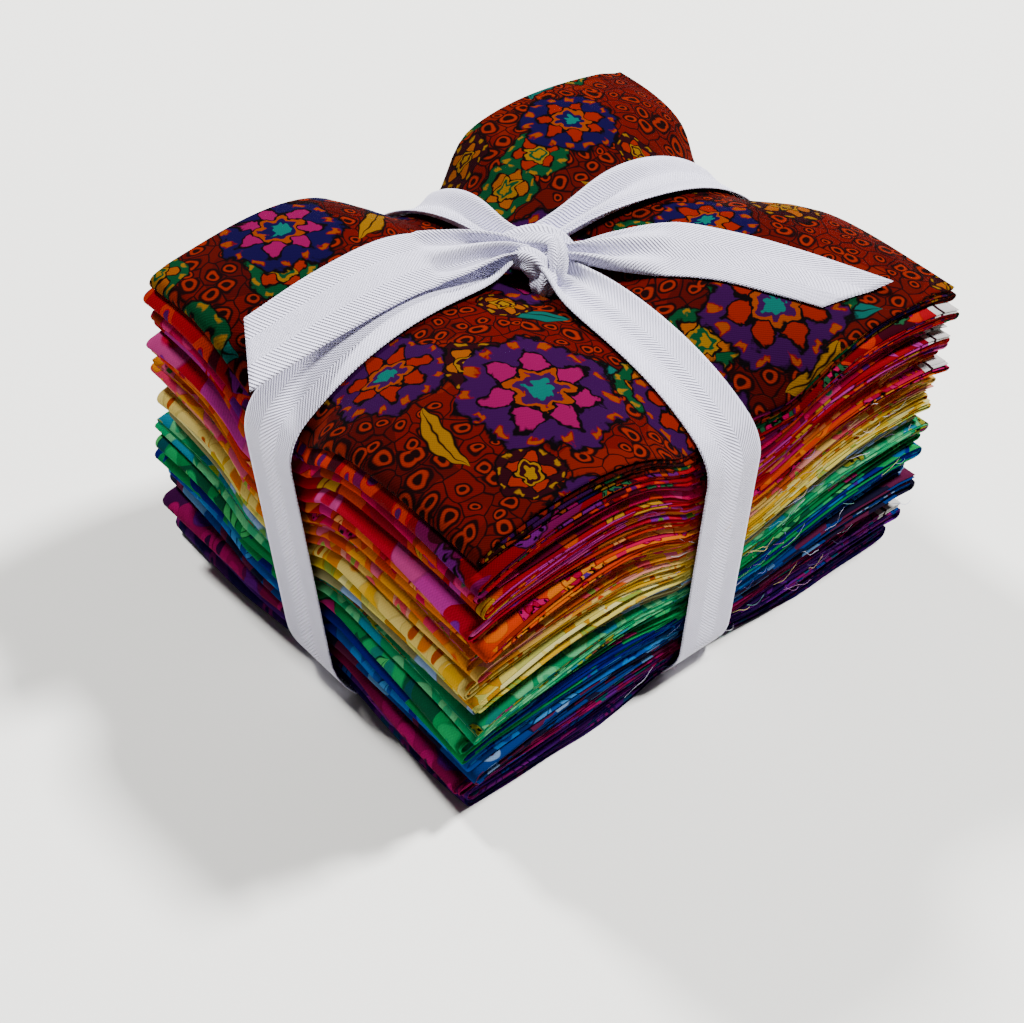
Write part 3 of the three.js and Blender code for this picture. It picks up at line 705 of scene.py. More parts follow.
# 1 where the value is under the edge, 0 where it is over it
def band(tree, value, edge, softness=0.02):
    return addNode(tree, "ShaderNodeMapRange", {
        "Value": calc(tree, "SUBTRACT", edge, value), "From Min": -softness, "From Max": softness,
    }).outputs[0]


def shaderGroup(name, inputs, outputs):
    tree = bpy.data.node_groups.new(name, "ShaderNodeTree")
    kinds = {"colour": "NodeSocketColor", "number": "NodeSocketFloat", "place": "NodeSocketVector"}
    for label, kind, *start in inputs:
        socket = tree.interface.new_socket(name=label, in_out="INPUT", socket_type=kinds[kind])
        if start:
            socket.default_value = start[0]
    for label, kind in outputs:
        tree.interface.new_socket(name=label, in_out="OUTPUT", socket_type=kinds[kind])
    return tree, tree.nodes.new("NodeGroupInput").outputs, tree.nodes.new("NodeGroupOutput").inputs


# Proportions of the motifs, as shares of their own sizes unless a note says otherwise
motifs = {
    "anyTurn": 6.28,          # radians
    "bloomSizes": (0.5, 0.6),     # what chance adds, and the smallest
    "bloomOuter": (0.07, 0.95),   # lobes and mean reach of the disc, the petals and the inner ring
    "bloomPetals": (0.13, 0.6),
    "bloomInner": (-0.06, 0.34),
    "bloomRoughness": 0.3,        # waves for each millimetre
    "beadRing": 0.8,
    "beadHalf": 0.05,
    "beadEdge": (-0.3, 0.2),
    "seedSizes": (0.6, 0.6),
    "seedMiddle": 0.4,
    "seedSoft": 0.06,
    "leafInside": 0.8,
    "leafVein": 0.08,
    "leafBow": 0.08,
    "leafSoft": 0.05,
    "patchDrift": (0.07, 60.0),   # waves for each millimetre, and millimetres
    "patchJitter": 0.75,
    "patchShares": (("Two", 0.42), ("Three", 0.66), ("Four", 0.86)),
}


# The cell of a jittered lattice that a place falls in: offset from the cell's middle and three
# random values that are the same all over the cell
def latticeCell(tree, place, spacing, jitter):
    scaled = scaleDown(tree, place, spacing)
    found = cells(tree, scaled, jitter)
    offset = arrow(tree, "SUBTRACT", scaled, found["Position"])
    return offset, addNode(tree, "ShaderNodeSeparateColor", {0: found["Color"]}).outputs


# Ragged rings round a heart: an outer disc, a lobed ring of petals, an inner ring and beads
def makeBloomGroup():
    tree, given, result = shaderGroup("blooms", [
        ("Place", "place"), ("Spacing", "number", 30.0), ("Size", "number", 0.45),
        ("Petals", "number", 8.0), ("Jitter", "number", 0.6), ("Ragged", "number", 0.3),
        ("Under", "colour"), ("Disc", "colour"), ("Disc Two", "colour"), ("Petal", "colour"),
        ("Petal Two", "colour"), ("Heart", "colour"), ("Line", "colour"), ("Bead", "colour"),
    ], [("Color", "colour")])
    offset, chance = latticeCell(tree, given["Place"], given["Spacing"], given["Jitter"])
    parts = split(tree, offset)
    turn = calc(tree, "MULTIPLY", calc(tree, "ARCTAN2", parts[1], parts[0]), given["Petals"])
    turn = calc(tree, "ADD", turn, calc(tree, "MULTIPLY", chance[0], motifs["anyTurn"]))
    lobes = calc(tree, "COSINE", turn)
    beads = calc(tree, "COSINE", calc(tree, "MULTIPLY", turn, 2.0))
    rough = noise(tree, given["Place"], motifs["bloomRoughness"], 2.0)[0]
    ragged = calc(tree, "MULTIPLY", calc(tree, "SUBTRACT", rough, 0.5), given["Ragged"])
    size = calc(tree, "MULTIPLY_ADD", chance[1], *motifs["bloomSizes"])
    size = calc(tree, "MULTIPLY", given["Size"], size)
    reach = calc(tree, "ADD", calc(tree, "DIVIDE", arrow(tree, "LENGTH", offset), size), ragged)
    outer, petals, inner = [
        calc(tree, "DIVIDE", reach, calc(tree, "MULTIPLY_ADD", lobes, *motifs[part]))
        for part in ("bloomOuter", "bloomPetals", "bloomInner")
    ]
    discPick = calc(tree, "GREATER_THAN", chance[2], 0.5)
    discChoice = blend(tree, discPick, given["Disc"], given["Disc Two"])
    petalPick = calc(tree, "GREATER_THAN", chance[0], 0.5)
    petalChoice = blend(tree, petalPick, given["Petal"], given["Petal Two"])
    onRing = calc(tree, "ABSOLUTE", calc(tree, "SUBTRACT", reach, motifs["beadRing"]))
    onRing = band(tree, onRing, motifs["beadHalf"])
    onBead = calc(tree, "MULTIPLY", onRing, band(tree, beads, *motifs["beadEdge"]))
    # From the outside in: what is measured, the edge up to which a colour goes, and the colour
    discs = [(outer, 1.0, given["Line"]), (outer, 0.93, discChoice)]
    rings = [
        (petals, 1.0, given["Line"]), (petals, 0.9, petalChoice), (inner, 1.15, given["Line"]),
        (inner, 0.98, given["Bead"]), (inner, 0.72, discChoice), (inner, 0.4, given["Heart"]),
    ]
    colour = given["Under"]
    for measure, edge, fill in discs:
        colour = blend(tree, band(tree, measure, edge), colour, fill)
    colour = blend(tree, onBead, colour, given["Bead"])
    for measure, edge, fill in rings:
        colour = blend(tree, band(tree, measure, edge), colour, fill)
    tree.links.new(colour, result["Color"])
    return tree


def makeSeedGroup():
    tree, given, result = shaderGroup("seeds", [
        ("Place", "place"), ("Spacing", "number", 8.0), ("Size", "number", 0.4), ("Jitter", "number", 0.8),
        ("Under", "colour"), ("Ring", "colour"), ("Middle", "colour"), ("Share", "number", 1.0),
        ("Line", "colour"), ("Edge", "number", 0.0), ("Net", "number", -1.0),
    ], [("Color", "colour")])
    offset, chance = latticeCell(tree, given["Place"], given["Spacing"], given["Jitter"])
    scaled = scaleDown(tree, given["Place"], given["Spacing"])
    border = cells(tree, scaled, given["Jitter"], feature="DISTANCE_TO_EDGE")["Distance"]
    under = blend(tree, band(tree, border, given["Net"]), given["Under"], given["Line"])
    size = calc(tree, "MULTIPLY_ADD", chance[1], *motifs["seedSizes"])
    size = calc(tree, "MULTIPLY", given["Size"], size)
    reach = calc(tree, "DIVIDE", arrow(tree, "LENGTH", offset), size)
    present = calc(tree, "LESS_THAN", chance[0], given["Share"])
    inside = calc(tree, "SUBTRACT", 1.0, given["Edge"])
    outline, ring, middle = [
        calc(tree, "MULTIPLY", band(tree, reach, edge, motifs["seedSoft"]), present)
        for edge in (1.0, inside, motifs["seedMiddle"])
    ]
    colour = blend(tree, ring, blend(tree, outline, under, given["Line"]), given["Ring"])
    colour = blend(tree, middle, colour, given["Middle"])
    tree.links.new(colour, result["Color"])
    return tree


def makeLeafGroup():
    tree, given, result = shaderGroup("leaves", [
        ("Place", "place"), ("Spacing", "number", 24.0), ("Length", "number", 0.42),
        ("Width", "number", 0.16), ("Jitter", "number", 0.9), ("Under", "colour"),
        ("Leaf", "colour"), ("Leaf Two", "colour"), ("Line", "colour"), ("Share", "number", 1.0),
    ], [("Color", "colour")])
    offset, chance = latticeCell(tree, given["Place"], given["Spacing"], given["Jitter"])
    turned = addNode(tree, "ShaderNodeVectorRotate", {
        "Vector": offset, "Angle": calc(tree, "MULTIPLY", chance[0], motifs["anyTurn"]),
    }, rotation_type="Z_AXIS").outputs[0]
    parts = split(tree, turned)
    alongLeaf = calc(tree, "DIVIDE", parts[0], given["Length"])
    squared = calc(tree, "MULTIPLY", alongLeaf, alongLeaf)
    taper = calc(tree, "MAXIMUM", calc(tree, "SUBTRACT", 1.0, squared), 0.001)
    away = calc(tree, "SUBTRACT", parts[1], calc(tree, "MULTIPLY", squared, motifs["leafBow"]))
    halfWidth = calc(tree, "MULTIPLY", given["Width"], taper)
    reach = calc(tree, "DIVIDE", calc(tree, "ABSOLUTE", away), halfWidth)
    present = calc(tree, "LESS_THAN", chance[1], given["Share"])
    leafChoice = blend(tree, calc(tree, "GREATER_THAN", chance[2], 0.5), given["Leaf"], given["Leaf Two"])
    outside, inside, vein = [
        calc(tree, "MULTIPLY", band(tree, reach, edge, motifs["leafSoft"]), present)
        for edge in (1.0, motifs["leafInside"], motifs["leafVein"])
    ]
    colour = blend(tree, outside, given["Under"], given["Line"])
    colour = blend(tree, inside, colour, leafChoice)
    colour = blend(tree, vein, colour, given["Line"])
    tree.links.new(colour, result["Color"])
    return tree


def makePatchGroup():
    tree, given, result = shaderGroup("patches", [
        ("Place", "place"), ("Spacing", "number", 12.0), ("Stretch", "number", 1.0),
        ("Swirl", "number", 0.3), ("One", "colour"), ("Two", "colour"), ("Three", "colour"),
        ("Four", "colour"),
    ], [("Color", "colour")])
    driftScale, driftReach = motifs["patchDrift"]
    drift = noise(tree, given["Place"], driftScale, 1.0)["Color"]
    reach = calc(tree, "MULTIPLY", given["Swirl"], driftReach)
    swirl = addNode(tree, "ShaderNodeCombineXYZ", {0: reach, 1: reach, 2: 0.0}).outputs[0]
    parts = split(tree, arrow(tree, "MULTIPLY_ADD", drift, swirl, given["Place"]))
    stretched = addNode(tree, "ShaderNodeCombineXYZ", {
        0: calc(tree, "DIVIDE", parts[0], calc(tree, "MULTIPLY", given["Spacing"], given["Stretch"])),
        1: calc(tree, "DIVIDE", parts[1], given["Spacing"]), 2: 0.0}).outputs[0]
    found = cells(tree, stretched, motifs["patchJitter"], distance="CHEBYCHEV")
    chance = addNode(tree, "ShaderNodeSeparateColor", {0: found["Color"]}).outputs[0]
    colour = given["One"]
    for label, share in motifs["patchShares"]:
        colour = blend(tree, calc(tree, "GREATER_THAN", chance, share), colour, given[label])
    tree.links.new(colour, result["Color"])
    return tree


# The look of the printed cotton
cotton = {
    "depth": 0.48,
    "richness": 1.1,
    "unevenness": 0.12,
    "threadPitch": 0.42,      # millimetres
    # painted light on the weave's raised crossings and painted shade in its hollows, as a share of the
    # colour
    "paintedWeaveShade": 0.04,
    "slubStretch": (0.25, 3.0, 1.0),
    "slubShade": (0.6, -0.3),     # what the noise adds, and its start, here and below
    "slubHeight": 0.5,
    "cloudScale": 0.05,
    "cloudShade": (0.8, -0.4),
    "cloudRoughness": (0.12, 0.78),
    "bumpStrength": 0.5,
    "bumpHeight": 0.00006,    # metres
    "shine": 0.02,
    "patchStretch": 1.4,
    "patchSwirl": 0.3,
    "wobbleScale": 0.14,
    "wobble": (3.4, 3.4, 0.0),
    "selvageColour": "#e8e4e2",
    "selvageLineColour": "#2a1018",
    "selvageLineAt": 0.7,     # share of the selvage's width, from the end
}


# Uneven dye, thread by thread and in soft clouds, painted light and shade that follow the plain weave, and
# the height of the plain weave
def makeClothGroup():
    tree, given, result = shaderGroup("cottonCloth", [
        ("Place", "place"), ("Pitch", "number", cotton["threadPitch"]),
        ("Unevenness", "number", cotton["unevenness"]), ("Depth", "number", cotton["depth"]),
        ("Richness", "number", cotton["richness"]), ("Color", "colour"),
    ], [("Color", "colour"), ("Height", "number"), ("Roughness", "number")])
    parts = split(tree, scaleDown(tree, given["Place"], given["Pitch"]))
    warp, weft = [calc(tree, "SINE", calc(tree, "MULTIPLY", parts[k], math.pi)) for k in (0, 1)]
    weave = calc(tree, "MULTIPLY", warp, weft)
    slubs = noise(tree, arrow(tree, "MULTIPLY", given["Place"], cotton["slubStretch"]), 1.0, 2.0)[0]
    clouds = noise(tree, given["Place"], cotton["cloudScale"], 3.0)[0]
    shade = calc(tree, "ADD", calc(tree, "MULTIPLY_ADD", slubs, *cotton["slubShade"]),
                 calc(tree, "MULTIPLY_ADD", clouds, *cotton["cloudShade"]))
    shade = calc(tree, "MULTIPLY_ADD", shade, given["Unevenness"], 1.0)
    # Painted light and shade: the weave's raised crossings are drawn lighter and its hollows darker in the
    # colour
    shade = calc(tree, "MULTIPLY_ADD", weave, cotton["paintedWeaveShade"], shade)
    tinted = addNode(tree, "ShaderNodeHueSaturation", {
        "Color": given["Color"], "Saturation": given["Richness"],
        "Value": calc(tree, "MULTIPLY", shade, given["Depth"]),
    }).outputs[0]
    tree.links.new(tinted, result["Color"])
    tree.links.new(calc(tree, "MULTIPLY_ADD", slubs, cotton["slubHeight"], weave), result["Height"])
    roughness = calc(tree, "MULTIPLY_ADD", clouds, *cotton["cloudRoughness"])
    tree.links.new(roughness, result["Roughness"])
    return tree


groups = {
    "blooms": makeBloomGroup(), "seeds": makeSeedGroup(), "leaves": makeLeafGroup(),
    "patches": makePatchGroup(), "cloth": makeClothGroup(),
}


def useGroup(tree, name, inputs):
    node = tree.nodes.new("ShaderNodeGroup")
    node.node_tree = groups[name]
    return feed(tree, node, inputs).outputs


# The prints: a ground of patches in four colours, then motifs laid over it in turn
prints = {
    "plum_navy": {"ground": ("#1d0f45", "#150f3c", "#3b1250", "#2a0f4a"), "spacing": 11, "layers": [
        ("seeds", {"Spacing": 12, "Size": 0.4, "Ring": "#4a1a66", "Middle": "#143a5c", "Share": 0.6}),
        ("seeds", {"Spacing": 7, "Size": 0.3, "Ring": "#6a1a5c", "Middle": "#101038", "Share": 0.4})]},
    "violet": {"ground": ("#431469", "#331057", "#6c2590", "#1d0f4a"), "spacing": 9, "layers": [
        ("seeds", {"Spacing": 12, "Size": 0.38, "Ring": "#8a1f6c", "Middle": "#1c5a7a", "Share": 0.45}),
        ("leaves", {"Spacing": 16, "Leaf": "#7c2b86", "Leaf Two": "#2c4a9a", "Line": "#1c0b38"})]},
    "magenta_purple": {"ground": ("#74103f", "#8c1850", "#5a0e46", "#3c0c3e"), "spacing": 10, "layers": [
        ("seeds", {"Spacing": 15, "Size": 0.4, "Ring": "#5c1a78", "Middle": "#1a5a5c", "Share": 0.5}),
        ("seeds", {"Spacing": 9, "Size": 0.38, "Ring": "#a52a62", "Middle": "#2f0a36", "Share": 0.7})]},
    "mosaic_blue": {"ground": ("#26407e", "#1b1830", "#5c2440", "#5f84b0"), "spacing": 6, "layers": [
        ("seeds", {"Spacing": 13, "Size": 0.28, "Ring": "#86a2c8", "Middle": "#5c2440", "Share": 0.3})]},
    "river_blue": {"ground": ("#174a9e", "#2f6fbe", "#12306c", "#2c2a86"), "spacing": 9, "layers": [
        ("seeds", {"Spacing": 11, "Size": 0.42, "Ring": "#3d7fc6", "Middle": "#1a3f8e", "Share": 0.6}),
        ("leaves", {"Spacing": 15, "Leaf": "#5c97d6", "Leaf Two": "#2a2f86", "Line": "#0f2458"})]},
    "cobalt_green": {"ground": ("#141c7c", "#23864c", "#10156a", "#2f9a58"), "spacing": 15, "layers": [
        ("seeds", {"Spacing": 16, "Size": 0.32, "Ring": "#2c6fa8", "Middle": "#4a2a8c", "Share": 0.5})]},
    "leaf_green": {"ground": ("#1c7c44", "#0d4d33", "#2b9456", "#134a52"), "spacing": 9, "layers": [
        ("seeds", {"Spacing": 12, "Size": 0.42, "Ring": "#3aa565", "Middle": "#167a6c", "Share": 0.7}),
        ("leaves", {"Spacing": 15, "Leaf": "#57b36c", "Leaf Two": "#a3386a", "Line": "#0a3a2a"})]},
    "sea_green": {"ground": ("#2b9d66", "#1d8a58", "#43b07c", "#1a7a6a"), "spacing": 10, "layers": [
        ("seeds", {"Spacing": 10, "Size": 0.44, "Ring": "#6cc088", "Middle": "#4aa878"}),
        ("seeds", {"Spacing": 17, "Size": 0.3, "Ring": "#2a86a0", "Middle": "#9ab03c", "Share": 0.4}),
        ("blooms", {"Spacing": 34, "Size": 0.28, "Petals": 7, "Disc": "#8a8d3a", "Disc Two": "#3f7f9a",
                    "Petal": "#9a356c", "Petal Two": "#7d4a3a", "Heart": "#4b8f5c", "Line": "#14664a"})]},
    "olive_sky": {"ground": ("#8f8a60", "#86815a", "#8a9fc4", "#9a936a"), "spacing": 14, "layers": [
        ("seeds", {"Spacing": 14, "Size": 0.36, "Ring": "#8fa9d2", "Middle": "#5a8a4c", "Share": 0.5})]},
    "lemon": {"ground": ("#e8d878", "#f2e8a0", "#d9ba4c", "#c4c46c"), "spacing": 8, "layers": [
        ("seeds", {"Spacing": 11, "Size": 0.4, "Ring": "#e6b84a", "Middle": "#f0d070", "Share": 0.5}),
        ("leaves", {"Spacing": 13, "Leaf": "#93aa52", "Leaf Two": "#c98a2a", "Line": "#b08f2c"})]},
    "gold": {"ground": ("#e2b048", "#efd684", "#d8852e", "#e8be5c"), "spacing": 8, "layers": [
        ("seeds", {"Spacing": 14, "Size": 0.42, "Ring": "#e8cf7c", "Middle": "#d97a3a", "Share": 0.6}),
        ("seeds", {"Spacing": 9, "Size": 0.34, "Ring": "#ead07a", "Middle": "#b4522a", "Share": 0.6})]},
    "apricot": {"ground": ("#e0954c", "#e69a8c", "#cc5f34", "#e6ba6c"), "spacing": 8, "layers": [
        ("seeds", {"Spacing": 16, "Size": 0.4, "Ring": "#e8c074", "Middle": "#d0503c", "Share": 0.5}),
        ("seeds", {"Spacing": 10, "Size": 0.34, "Ring": "#d9606c", "Middle": "#86a04c", "Share": 0.6})]},
    "tangerine": {"ground": ("#d75f22", "#e39a40", "#b83c1a", "#d0506a"), "spacing": 9, "layers": [
        ("seeds", {"Spacing": 15, "Size": 0.42, "Ring": "#e08a3a", "Middle": "#c43a1c", "Share": 0.6}),
        ("seeds", {"Spacing": 12, "Size": 0.3, "Ring": "#d56a86", "Middle": "#3f7a3c", "Share": 0.6})]},
    "coral": {"ground": ("#cf3c1a", "#dd7a3c", "#97240f", "#c02c50"), "spacing": 9, "layers": [
        ("seeds", {"Spacing": 11, "Size": 0.4, "Ring": "#e07040", "Middle": "#a81c2a", "Share": 0.5}),
        ("blooms", {"Spacing": 22, "Size": 0.36, "Petals": 6, "Disc": "#c03a6c", "Disc Two": "#d98a4a",
                    "Petal": "#e0552a", "Petal Two": "#a01c3c", "Heart": "#53317c", "Line": "#7c1410"})]},
    "scarlet": {"ground": ("#bd2613", "#d5704c", "#9c1512", "#b8286c"), "spacing": 9, "layers": [
        ("seeds", {"Spacing": 13, "Size": 0.42, "Ring": "#d8805c", "Middle": "#c23a20", "Share": 0.6}),
        ("leaves", {"Spacing": 17, "Leaf": "#da8f60", "Leaf Two": "#a4142c", "Line": "#7a100e"})]},
    "rose_pink": {"ground": ("#ae172c", "#bb4796", "#a8132a", "#c0602a"), "spacing": 16, "layers": [
        ("seeds", {"Spacing": 20, "Size": 0.4, "Ring": "#c4568c", "Middle": "#b8243c", "Share": 0.5}),
        ("seeds", {"Spacing": 12, "Size": 0.26, "Ring": "#7a2a8c", "Middle": "#55782c", "Share": 0.4})]},
    "crimson": {"ground": ("#99121e", "#861020", "#b04490", "#b83a22"), "spacing": 13, "layers": [
        ("seeds", {"Spacing": 14, "Size": 0.34, "Ring": "#c0502c", "Middle": "#8c1a6c", "Share": 0.4}),
        ("leaves", {"Spacing": 20, "Leaf": "#b5853f", "Leaf Two": "#b04894", "Line": "#5e0a14",
                    "Share": 0.6})]},
    "cherry": {"ground": ("#9c1136", "#b9244f", "#5c0b28", "#8d2a12"), "spacing": 9, "layers": [
        ("seeds", {"Spacing": 14, "Size": 0.36, "Ring": "#c8402c", "Middle": "#5c1a70", "Share": 0.5}),
        ("seeds", {"Spacing": 12, "Size": 0.32, "Ring": "#cc4c7a", "Middle": "#2f6f50", "Share": 0.5})]},
    "garnet": {"ground": ("#7c0f18", "#a51c26", "#3a0a17", "#6a1246"), "spacing": 8, "layers": [
        ("seeds", {"Spacing": 10, "Size": 0.36, "Ring": "#c23a2a", "Middle": "#4a1450", "Share": 0.5}),
        ("blooms", {"Spacing": 24, "Size": 0.38, "Petals": 6, "Disc": "#285a3a", "Disc Two": "#641f6a",
                    "Petal": "#bf2f5c", "Petal Two": "#b14420", "Heart": "#1d1030", "Line": "#230810"})]},
    "red_garden": {"ground": ("#ae1e12", "#86120c", "#c42e18", "#98180e"), "spacing": 20, "depth": 0.12,
                   "richness": 1.22, "layers": [
        ("seeds", {"Spacing": 6.6, "Size": 0.44, "Ring": "#f2482a", "Middle": "#2c0406", "Line": "#300408",
                   "Edge": 0.3, "Net": 0.035}),
        ("leaves", {"Spacing": 29, "Length": 0.4, "Width": 0.13, "Leaf": "#f2b468", "Leaf Two": "#1a9a8c",
                    "Line": "#23070a", "Share": 0.45}),
        ("blooms", {"Spacing": 33, "Size": 0.36, "Petals": 5, "Jitter": 0.9, "Disc": "#4a0c1e",
                    "Disc Two": "#187444", "Petal": "#f0401c", "Petal Two": "#ff8a3a", "Heart": "#f2b860",
                    "Bead": "#f2b870", "Line": "#160408", "Ragged": 0.3}),
        ("blooms", {"Spacing": 58, "Size": 0.42, "Petals": 7, "Jitter": 0.75, "Disc": "#240a6c",
                    "Disc Two": "#5c0c74", "Petal": "#e8300f", "Petal Two": "#e8308c", "Heart": "#1fb0a0",
                    "Bead": "#f06a24", "Line": "#10030a", "Ragged": 0.25})]},
}


def newMaterial(name):
    material = bpy.data.materials.new(name)
    material.use_nodes = True
    tree = material.node_tree
    shader = tree.nodes["Principled BSDF"]
    flat = addNode(tree, "ShaderNodeUVMap", {}, uv_map="flatCut").outputs[0]
    place = arrow(tree, "MULTIPLY", flat, (1.0 / millimetre, 1.0 / millimetre, 0.0))
    return material, tree, shader, place


def printMaterial(name):
    design = prints[name]
    material, tree, shader, place = newMaterial(f"print_{name}")
    one, two, three, four = [paint(code) for code in design["ground"]]
    colour = useGroup(tree, "patches", {
        "Place": place, "Spacing": design["spacing"], "Stretch": cotton["patchStretch"],
        "Swirl": cotton["patchSwirl"], "One": one, "Two": two, "Three": three, "Four": four})["Color"]
    wobble = noise(tree, place, cotton["wobbleScale"], 1.0)["Color"]
    drawn = arrow(tree, "MULTIPLY_ADD", wobble, cotton["wobble"], place)
    for kind, settings in design["layers"]:
        values = {key: paint(v) if isinstance(v, str) else v for key, v in settings.items()}
        colour = useGroup(tree, kind, {"Place": drawn, "Under": colour, **values})["Color"]
    if name in cut["selvageOn"]:
        fromEnd = calc(tree, "SUBTRACT", cut["width"] / millimetre, split(tree, place)[0])
        colour = blend(tree, band(tree, fromEnd, cut["selvage"]), colour, paint(cotton["selvageColour"]))
        fromLine = calc(tree, "SUBTRACT", fromEnd, cotton["selvageLineAt"] * cut["selvage"])
        line = band(tree, calc(tree, "ABSOLUTE", fromLine), 0.5 * cut["selvageLine"])
        colour = blend(tree, line, colour, paint(cotton["selvageLineColour"]))
    cloth = useGroup(tree, "cloth", {
        "Place": place, "Color": colour, "Depth": design.get("depth", cotton["depth"]),
        "Richness": design.get("richness", cotton["richness"])})
    bump = addNode(tree, "ShaderNodeBump", {
        "Strength": cotton["bumpStrength"], "Distance": cotton["bumpHeight"], "Height": cloth["Height"]})
    tree.links.new(cloth["Color"], shader.inputs["Base Color"])
    tree.links.new(cloth["Roughness"], shader.inputs["Roughness"])
    tree.links.new(bump.outputs[0], shader.inputs["Normal"])
    shader.inputs["Specular IOR Level"].default_value = cotton["shine"]
    return material


# The look of the twill: painted light on the tops of its ribs and painted shade between them, and a little
# cloudiness, as shares of white
twill = {
    "pickHeight": 0.3,
    "paintedRibShade": (0.13, 0.87),
    "cloudScale": 0.12,
    "cloudShade": (0.08, -0.04),
    "bumpStrength": 0.8,
    "bumpHeight": 0.00024,    # metres
    "roughness": 0.55,
    "shine": 0.3,
    "sheen": 0.1,
}


def ribbonMaterial():
    material, tree, shader, place = newMaterial("ribbonTwill")
    parts = split(tree, place)
    column = calc(tree, "PINGPONG", parts[0], ribbon["width"] / ribbon["twillColumns"])
    slanting = calc(tree, "ADD", calc(tree, "MULTIPLY", column, ribbon["twillSlope"]), parts[1])
    ribs = calc(tree, "SINE", calc(tree, "MULTIPLY", slanting, 2 * math.pi / ribbon["twillPitch"]))
    picks = calc(tree, "SINE", calc(tree, "MULTIPLY", parts[1], 2 * math.pi / ribbon["pickPitch"]))
    height = calc(tree, "MULTIPLY_ADD", picks, twill["pickHeight"], ribs)
    clouds = noise(tree, place, twill["cloudScale"], 2.0)[0]
    # Painted light and shade: the twill's ribs are drawn lighter on top and darker between, following the
    # bump's height
    shade = calc(tree, "ADD", calc(tree, "MULTIPLY_ADD", ribs, *twill["paintedRibShade"]),
                 calc(tree, "MULTIPLY_ADD", clouds, *twill["cloudShade"]))
    white = addNode(tree, "ShaderNodeHueSaturation", {
        "Color": paint(ribbon["colour"]), "Value": shade}).outputs[0]
    bump = addNode(tree, "ShaderNodeBump", {
        "Strength": twill["bumpStrength"], "Distance": twill["bumpHeight"], "Height": height})
    tree.links.new(white, shader.inputs["Base Color"])
    tree.links.new(bump.outputs[0], shader.inputs["Normal"])
    shader.inputs["Roughness"].default_value = twill["roughness"]
    shader.inputs["Specular IOR Level"].default_value = twill["shine"]
    shader.inputs["Sheen Weight"].default_value = twill["sheen"]
    return material


# Threads that have worked loose from the raw edges, in millimetres, with the cloth they belong to
frays = {
    "cloth": "cobalt_green",
    "count": 90,
    "rows": 10,
    "thickness": 0.12,
    "lengths": (4.0, 13.0),
    "heights": (5.0, 68.0),
    "cornerEvery": 5,         # one thread in so many hangs out at the right corner
    "cornerInset": 1.5,
    "cornerPlaces": (0.2, 0.97),
    "cornerReach": 0.8,
    "frontInset": 0.4,
    "frontPlaces": (-0.25, 0.98),
    "frontReaches": (0.8, 2.6),
    "frontBends": (0.7, 0.95),
    "curls": (0.3, 1.3),
    "turns": (4.0, 11.0),
    "drops": (-1.5, 4.0),
    "swayShare": 0.4,
    "swayTurn": 3.0,
    "seed": 11,
    "roughness": 0.8,
    "colours": ("#b9b6cc", "#cfcbd8", "#c8ae64", "#5c988f", "#5b62b4", "#3a2460", "#94507c"),
}


# One colour for each thread, by chance
def frayMaterial():
    material, tree, shader, place = newMaterial("looseThread")
    chance = addNode(tree, "ShaderNodeTexWhiteNoise", {
        "W": split(tree, place)[0]}, noise_dimensions="1D").outputs[0]
    ramp = addNode(tree, "ShaderNodeValToRGB", {0: chance})
    ramp.color_ramp.interpolation = "CONSTANT"
    colours = ramp.color_ramp.elements
    colours[0].color = paint(frays["colours"][0])
    colours[1].position = 1.0 / len(frays["colours"])
    colours[1].color = paint(frays["colours"][1])
    for step, code in enumerate(frays["colours"][2:], 2):
        colours.new(step / len(frays["colours"])).color = paint(code)
    tree.links.new(ramp.outputs[0], shader.inputs["Base Color"])
    shader.inputs["Roughness"].default_value = frays["roughness"]
    return material


def makeFrays():
    chance = np.random.default_rng(frays["seed"])
    bm = bmesh.new()
    shares = np.linspace(0.0, 1.0, frays["rows"])
    angles = np.linspace(0, 2 * math.pi, 4)
    ring = np.stack([0.5 * np.sin(angles), np.sin(angles), np.cos(angles)], axis=-1)
    ring = ring * frays["thickness"] / 2
    for index in range(frays["count"]):
        atCorner = index % frays["cornerEvery"] == 0
        height = chance.uniform(*frays["heights"])
        length = chance.uniform(*frays["lengths"])
        reach = frays["cornerReach"] * length if atCorner else chance.uniform(*frays["frontReaches"])
        drift = length * chance.choice([-1.0, 1.0])
        curl, turns = chance.uniform(*frays["curls"]), chance.uniform(*frays["turns"])
        drop = chance.uniform(*frays["drops"])
        bend = 0.5 if atCorner else chance.uniform(*frays["frontBends"])
        out = reach * np.sin(shares * math.pi * bend)
        sway = curl * np.sin(shares * turns + index)
        if atCorner:
            x = stack["halfWidth"] - frays["cornerInset"] + out
            y = -chance.uniform(*frays["cornerPlaces"]) * stack["halfDepth"] + sway
        else:
            start = chance.uniform(*frays["frontPlaces"]) * stack["halfWidth"]
            x = start + drift * shares + frays["swayShare"] * sway
            y = -stack["halfDepth"] + frays["frontInset"] - out
        z = carryUp(x, y, height) + sway * np.cos(shares * frays["swayTurn"] + index) - drop * shares ** 2
        centres = np.stack([x + stack["shiftX"], y, z], axis=-1)
        places = centres[None] + ring[:, None]
        addGrid(bm, places, np.full(places.shape[:2] + (2,), index * millimetre))
    bmesh.ops.remove_doubles(bm, verts=bm.verts, dist=mergeDistance)
    return finishPiece(bm, "frayThreads", frayMaterial(), [], 0.0)


print("Folding the fat quarters")
looseThreads = makeFrays()
for index, quarter in enumerate(quarters):
    piece = makeQuarter(index, quarter)
print("Tying the ribbon")
makeRibbon()


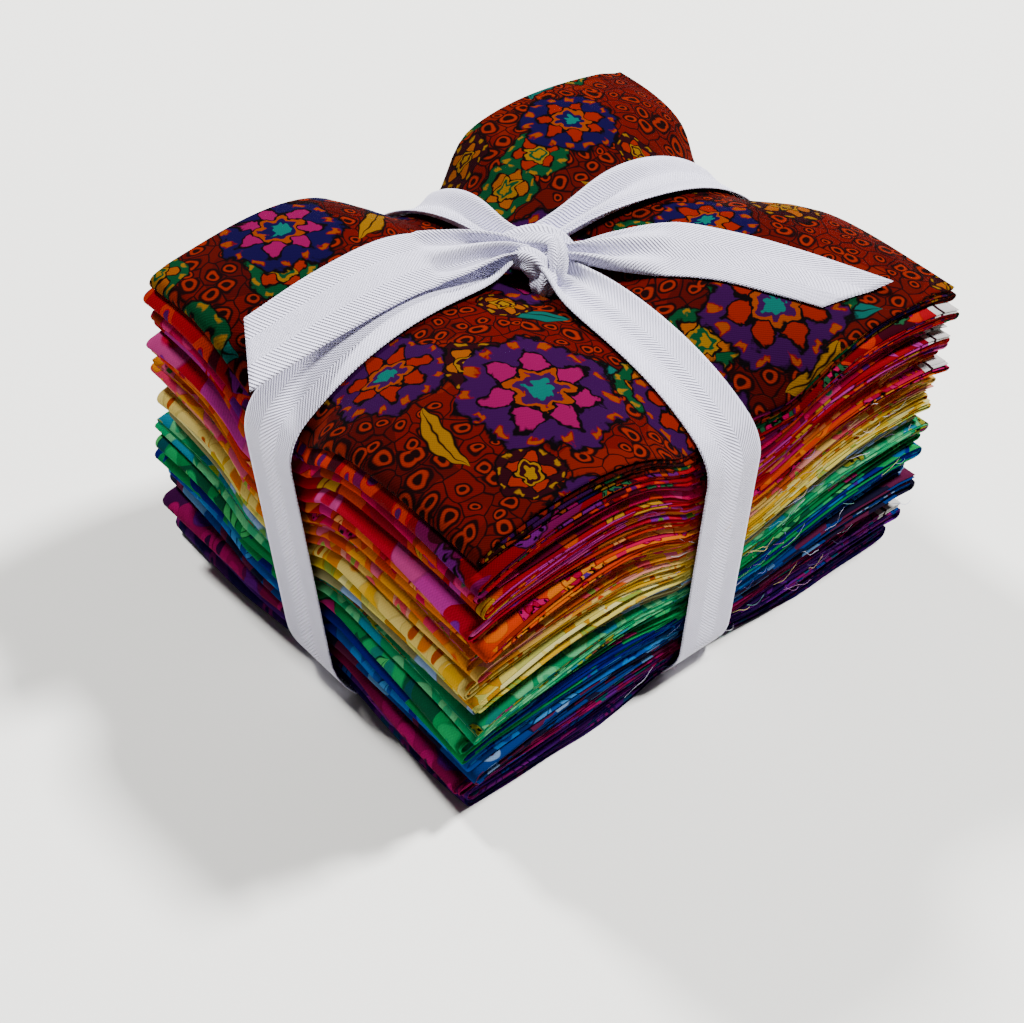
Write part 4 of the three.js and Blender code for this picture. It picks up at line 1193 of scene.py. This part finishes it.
# The studio, in metres: pale floor, key lamp high up on the right, fill lamp high up behind, camera
studio = {
    "floorSize": 6.0,
    "floorColour": "#e4e3de",
    "floorRoughness": 0.9,
    "cameraPlace": (-0.3156, -0.3141, 0.4284),
    "cameraAim": (-0.0343, -0.0248, 0.05),
    "cameraRoll": 4.285,
    "lens": 69.61,            # millimetres, on a sensor of the width below
    "sensor": 36.0,
    "keyPlace": (2.05, -0.62, 2.88),
    "keyPower": 400.0,
    "fillPlace": (-0.3, 2.66, 2.4),
    "fillPower": 280.0,
    "lampSize": 0.5,
    "lampAim": (0.0, 0.0, 0.05),
    "airLight": 0.06,
}


def makeFloor():
    bm = bmesh.new()
    bmesh.ops.create_grid(bm, x_segments=1, y_segments=1, size=studio["floorSize"] / 2)
    mesh = bpy.data.meshes.new("floor")
    bm.to_mesh(mesh)
    bm.free()
    floor = addObject("floor", mesh)
    material = bpy.data.materials.new("paleTable")
    material.use_nodes = True
    shader = material.node_tree.nodes["Principled BSDF"]
    shader.inputs["Base Color"].default_value = paint(studio["floorColour"])
    shader.inputs["Roughness"].default_value = studio["floorRoughness"]
    shader.inputs["Specular IOR Level"].default_value = 0.0
    mesh.materials.append(material)


def makeLamp(name, place, power):
    lamp = bpy.data.lights.new(name, "AREA")
    lamp.energy = power
    lamp.size = studio["lampSize"]
    lampObject = addObject(name, lamp)
    lampObject.location = place
    aim = Vector(studio["lampAim"]) - Vector(place)
    lampObject.rotation_euler = aim.to_track_quat("-Z", "Y").to_euler()


def makeCamera():
    data = bpy.data.cameras.new("camera")
    data.lens = studio["lens"]
    data.sensor_width = studio["sensor"]
    data.dof.use_dof = False
    camera = addObject("camera", data)
    place, aim = Vector(studio["cameraPlace"]), Vector(studio["cameraAim"])
    camera.location = place
    facing = (aim - place).to_track_quat("-Z", "Y").to_matrix().to_4x4()
    roll = Matrix.Rotation(math.radians(studio["cameraRoll"]), 4, "Z")
    camera.rotation_euler = (facing @ roll).to_euler()
    bpy.context.scene.camera = camera


print("Lighting the table")
makeFloor()
makeLamp("keyLamp", studio["keyPlace"], studio["keyPower"])
makeLamp("fillLamp", studio["fillPlace"], studio["fillPower"])
world = bpy.data.worlds.new("studio")
world.use_nodes = True
air = world.node_tree.nodes["Background"]
air.inputs["Color"].default_value = (1.0, 1.0, 1.0, 1.0)
air.inputs["Strength"].default_value = studio["airLight"]
bpy.context.scene.world = world
makeCamera()
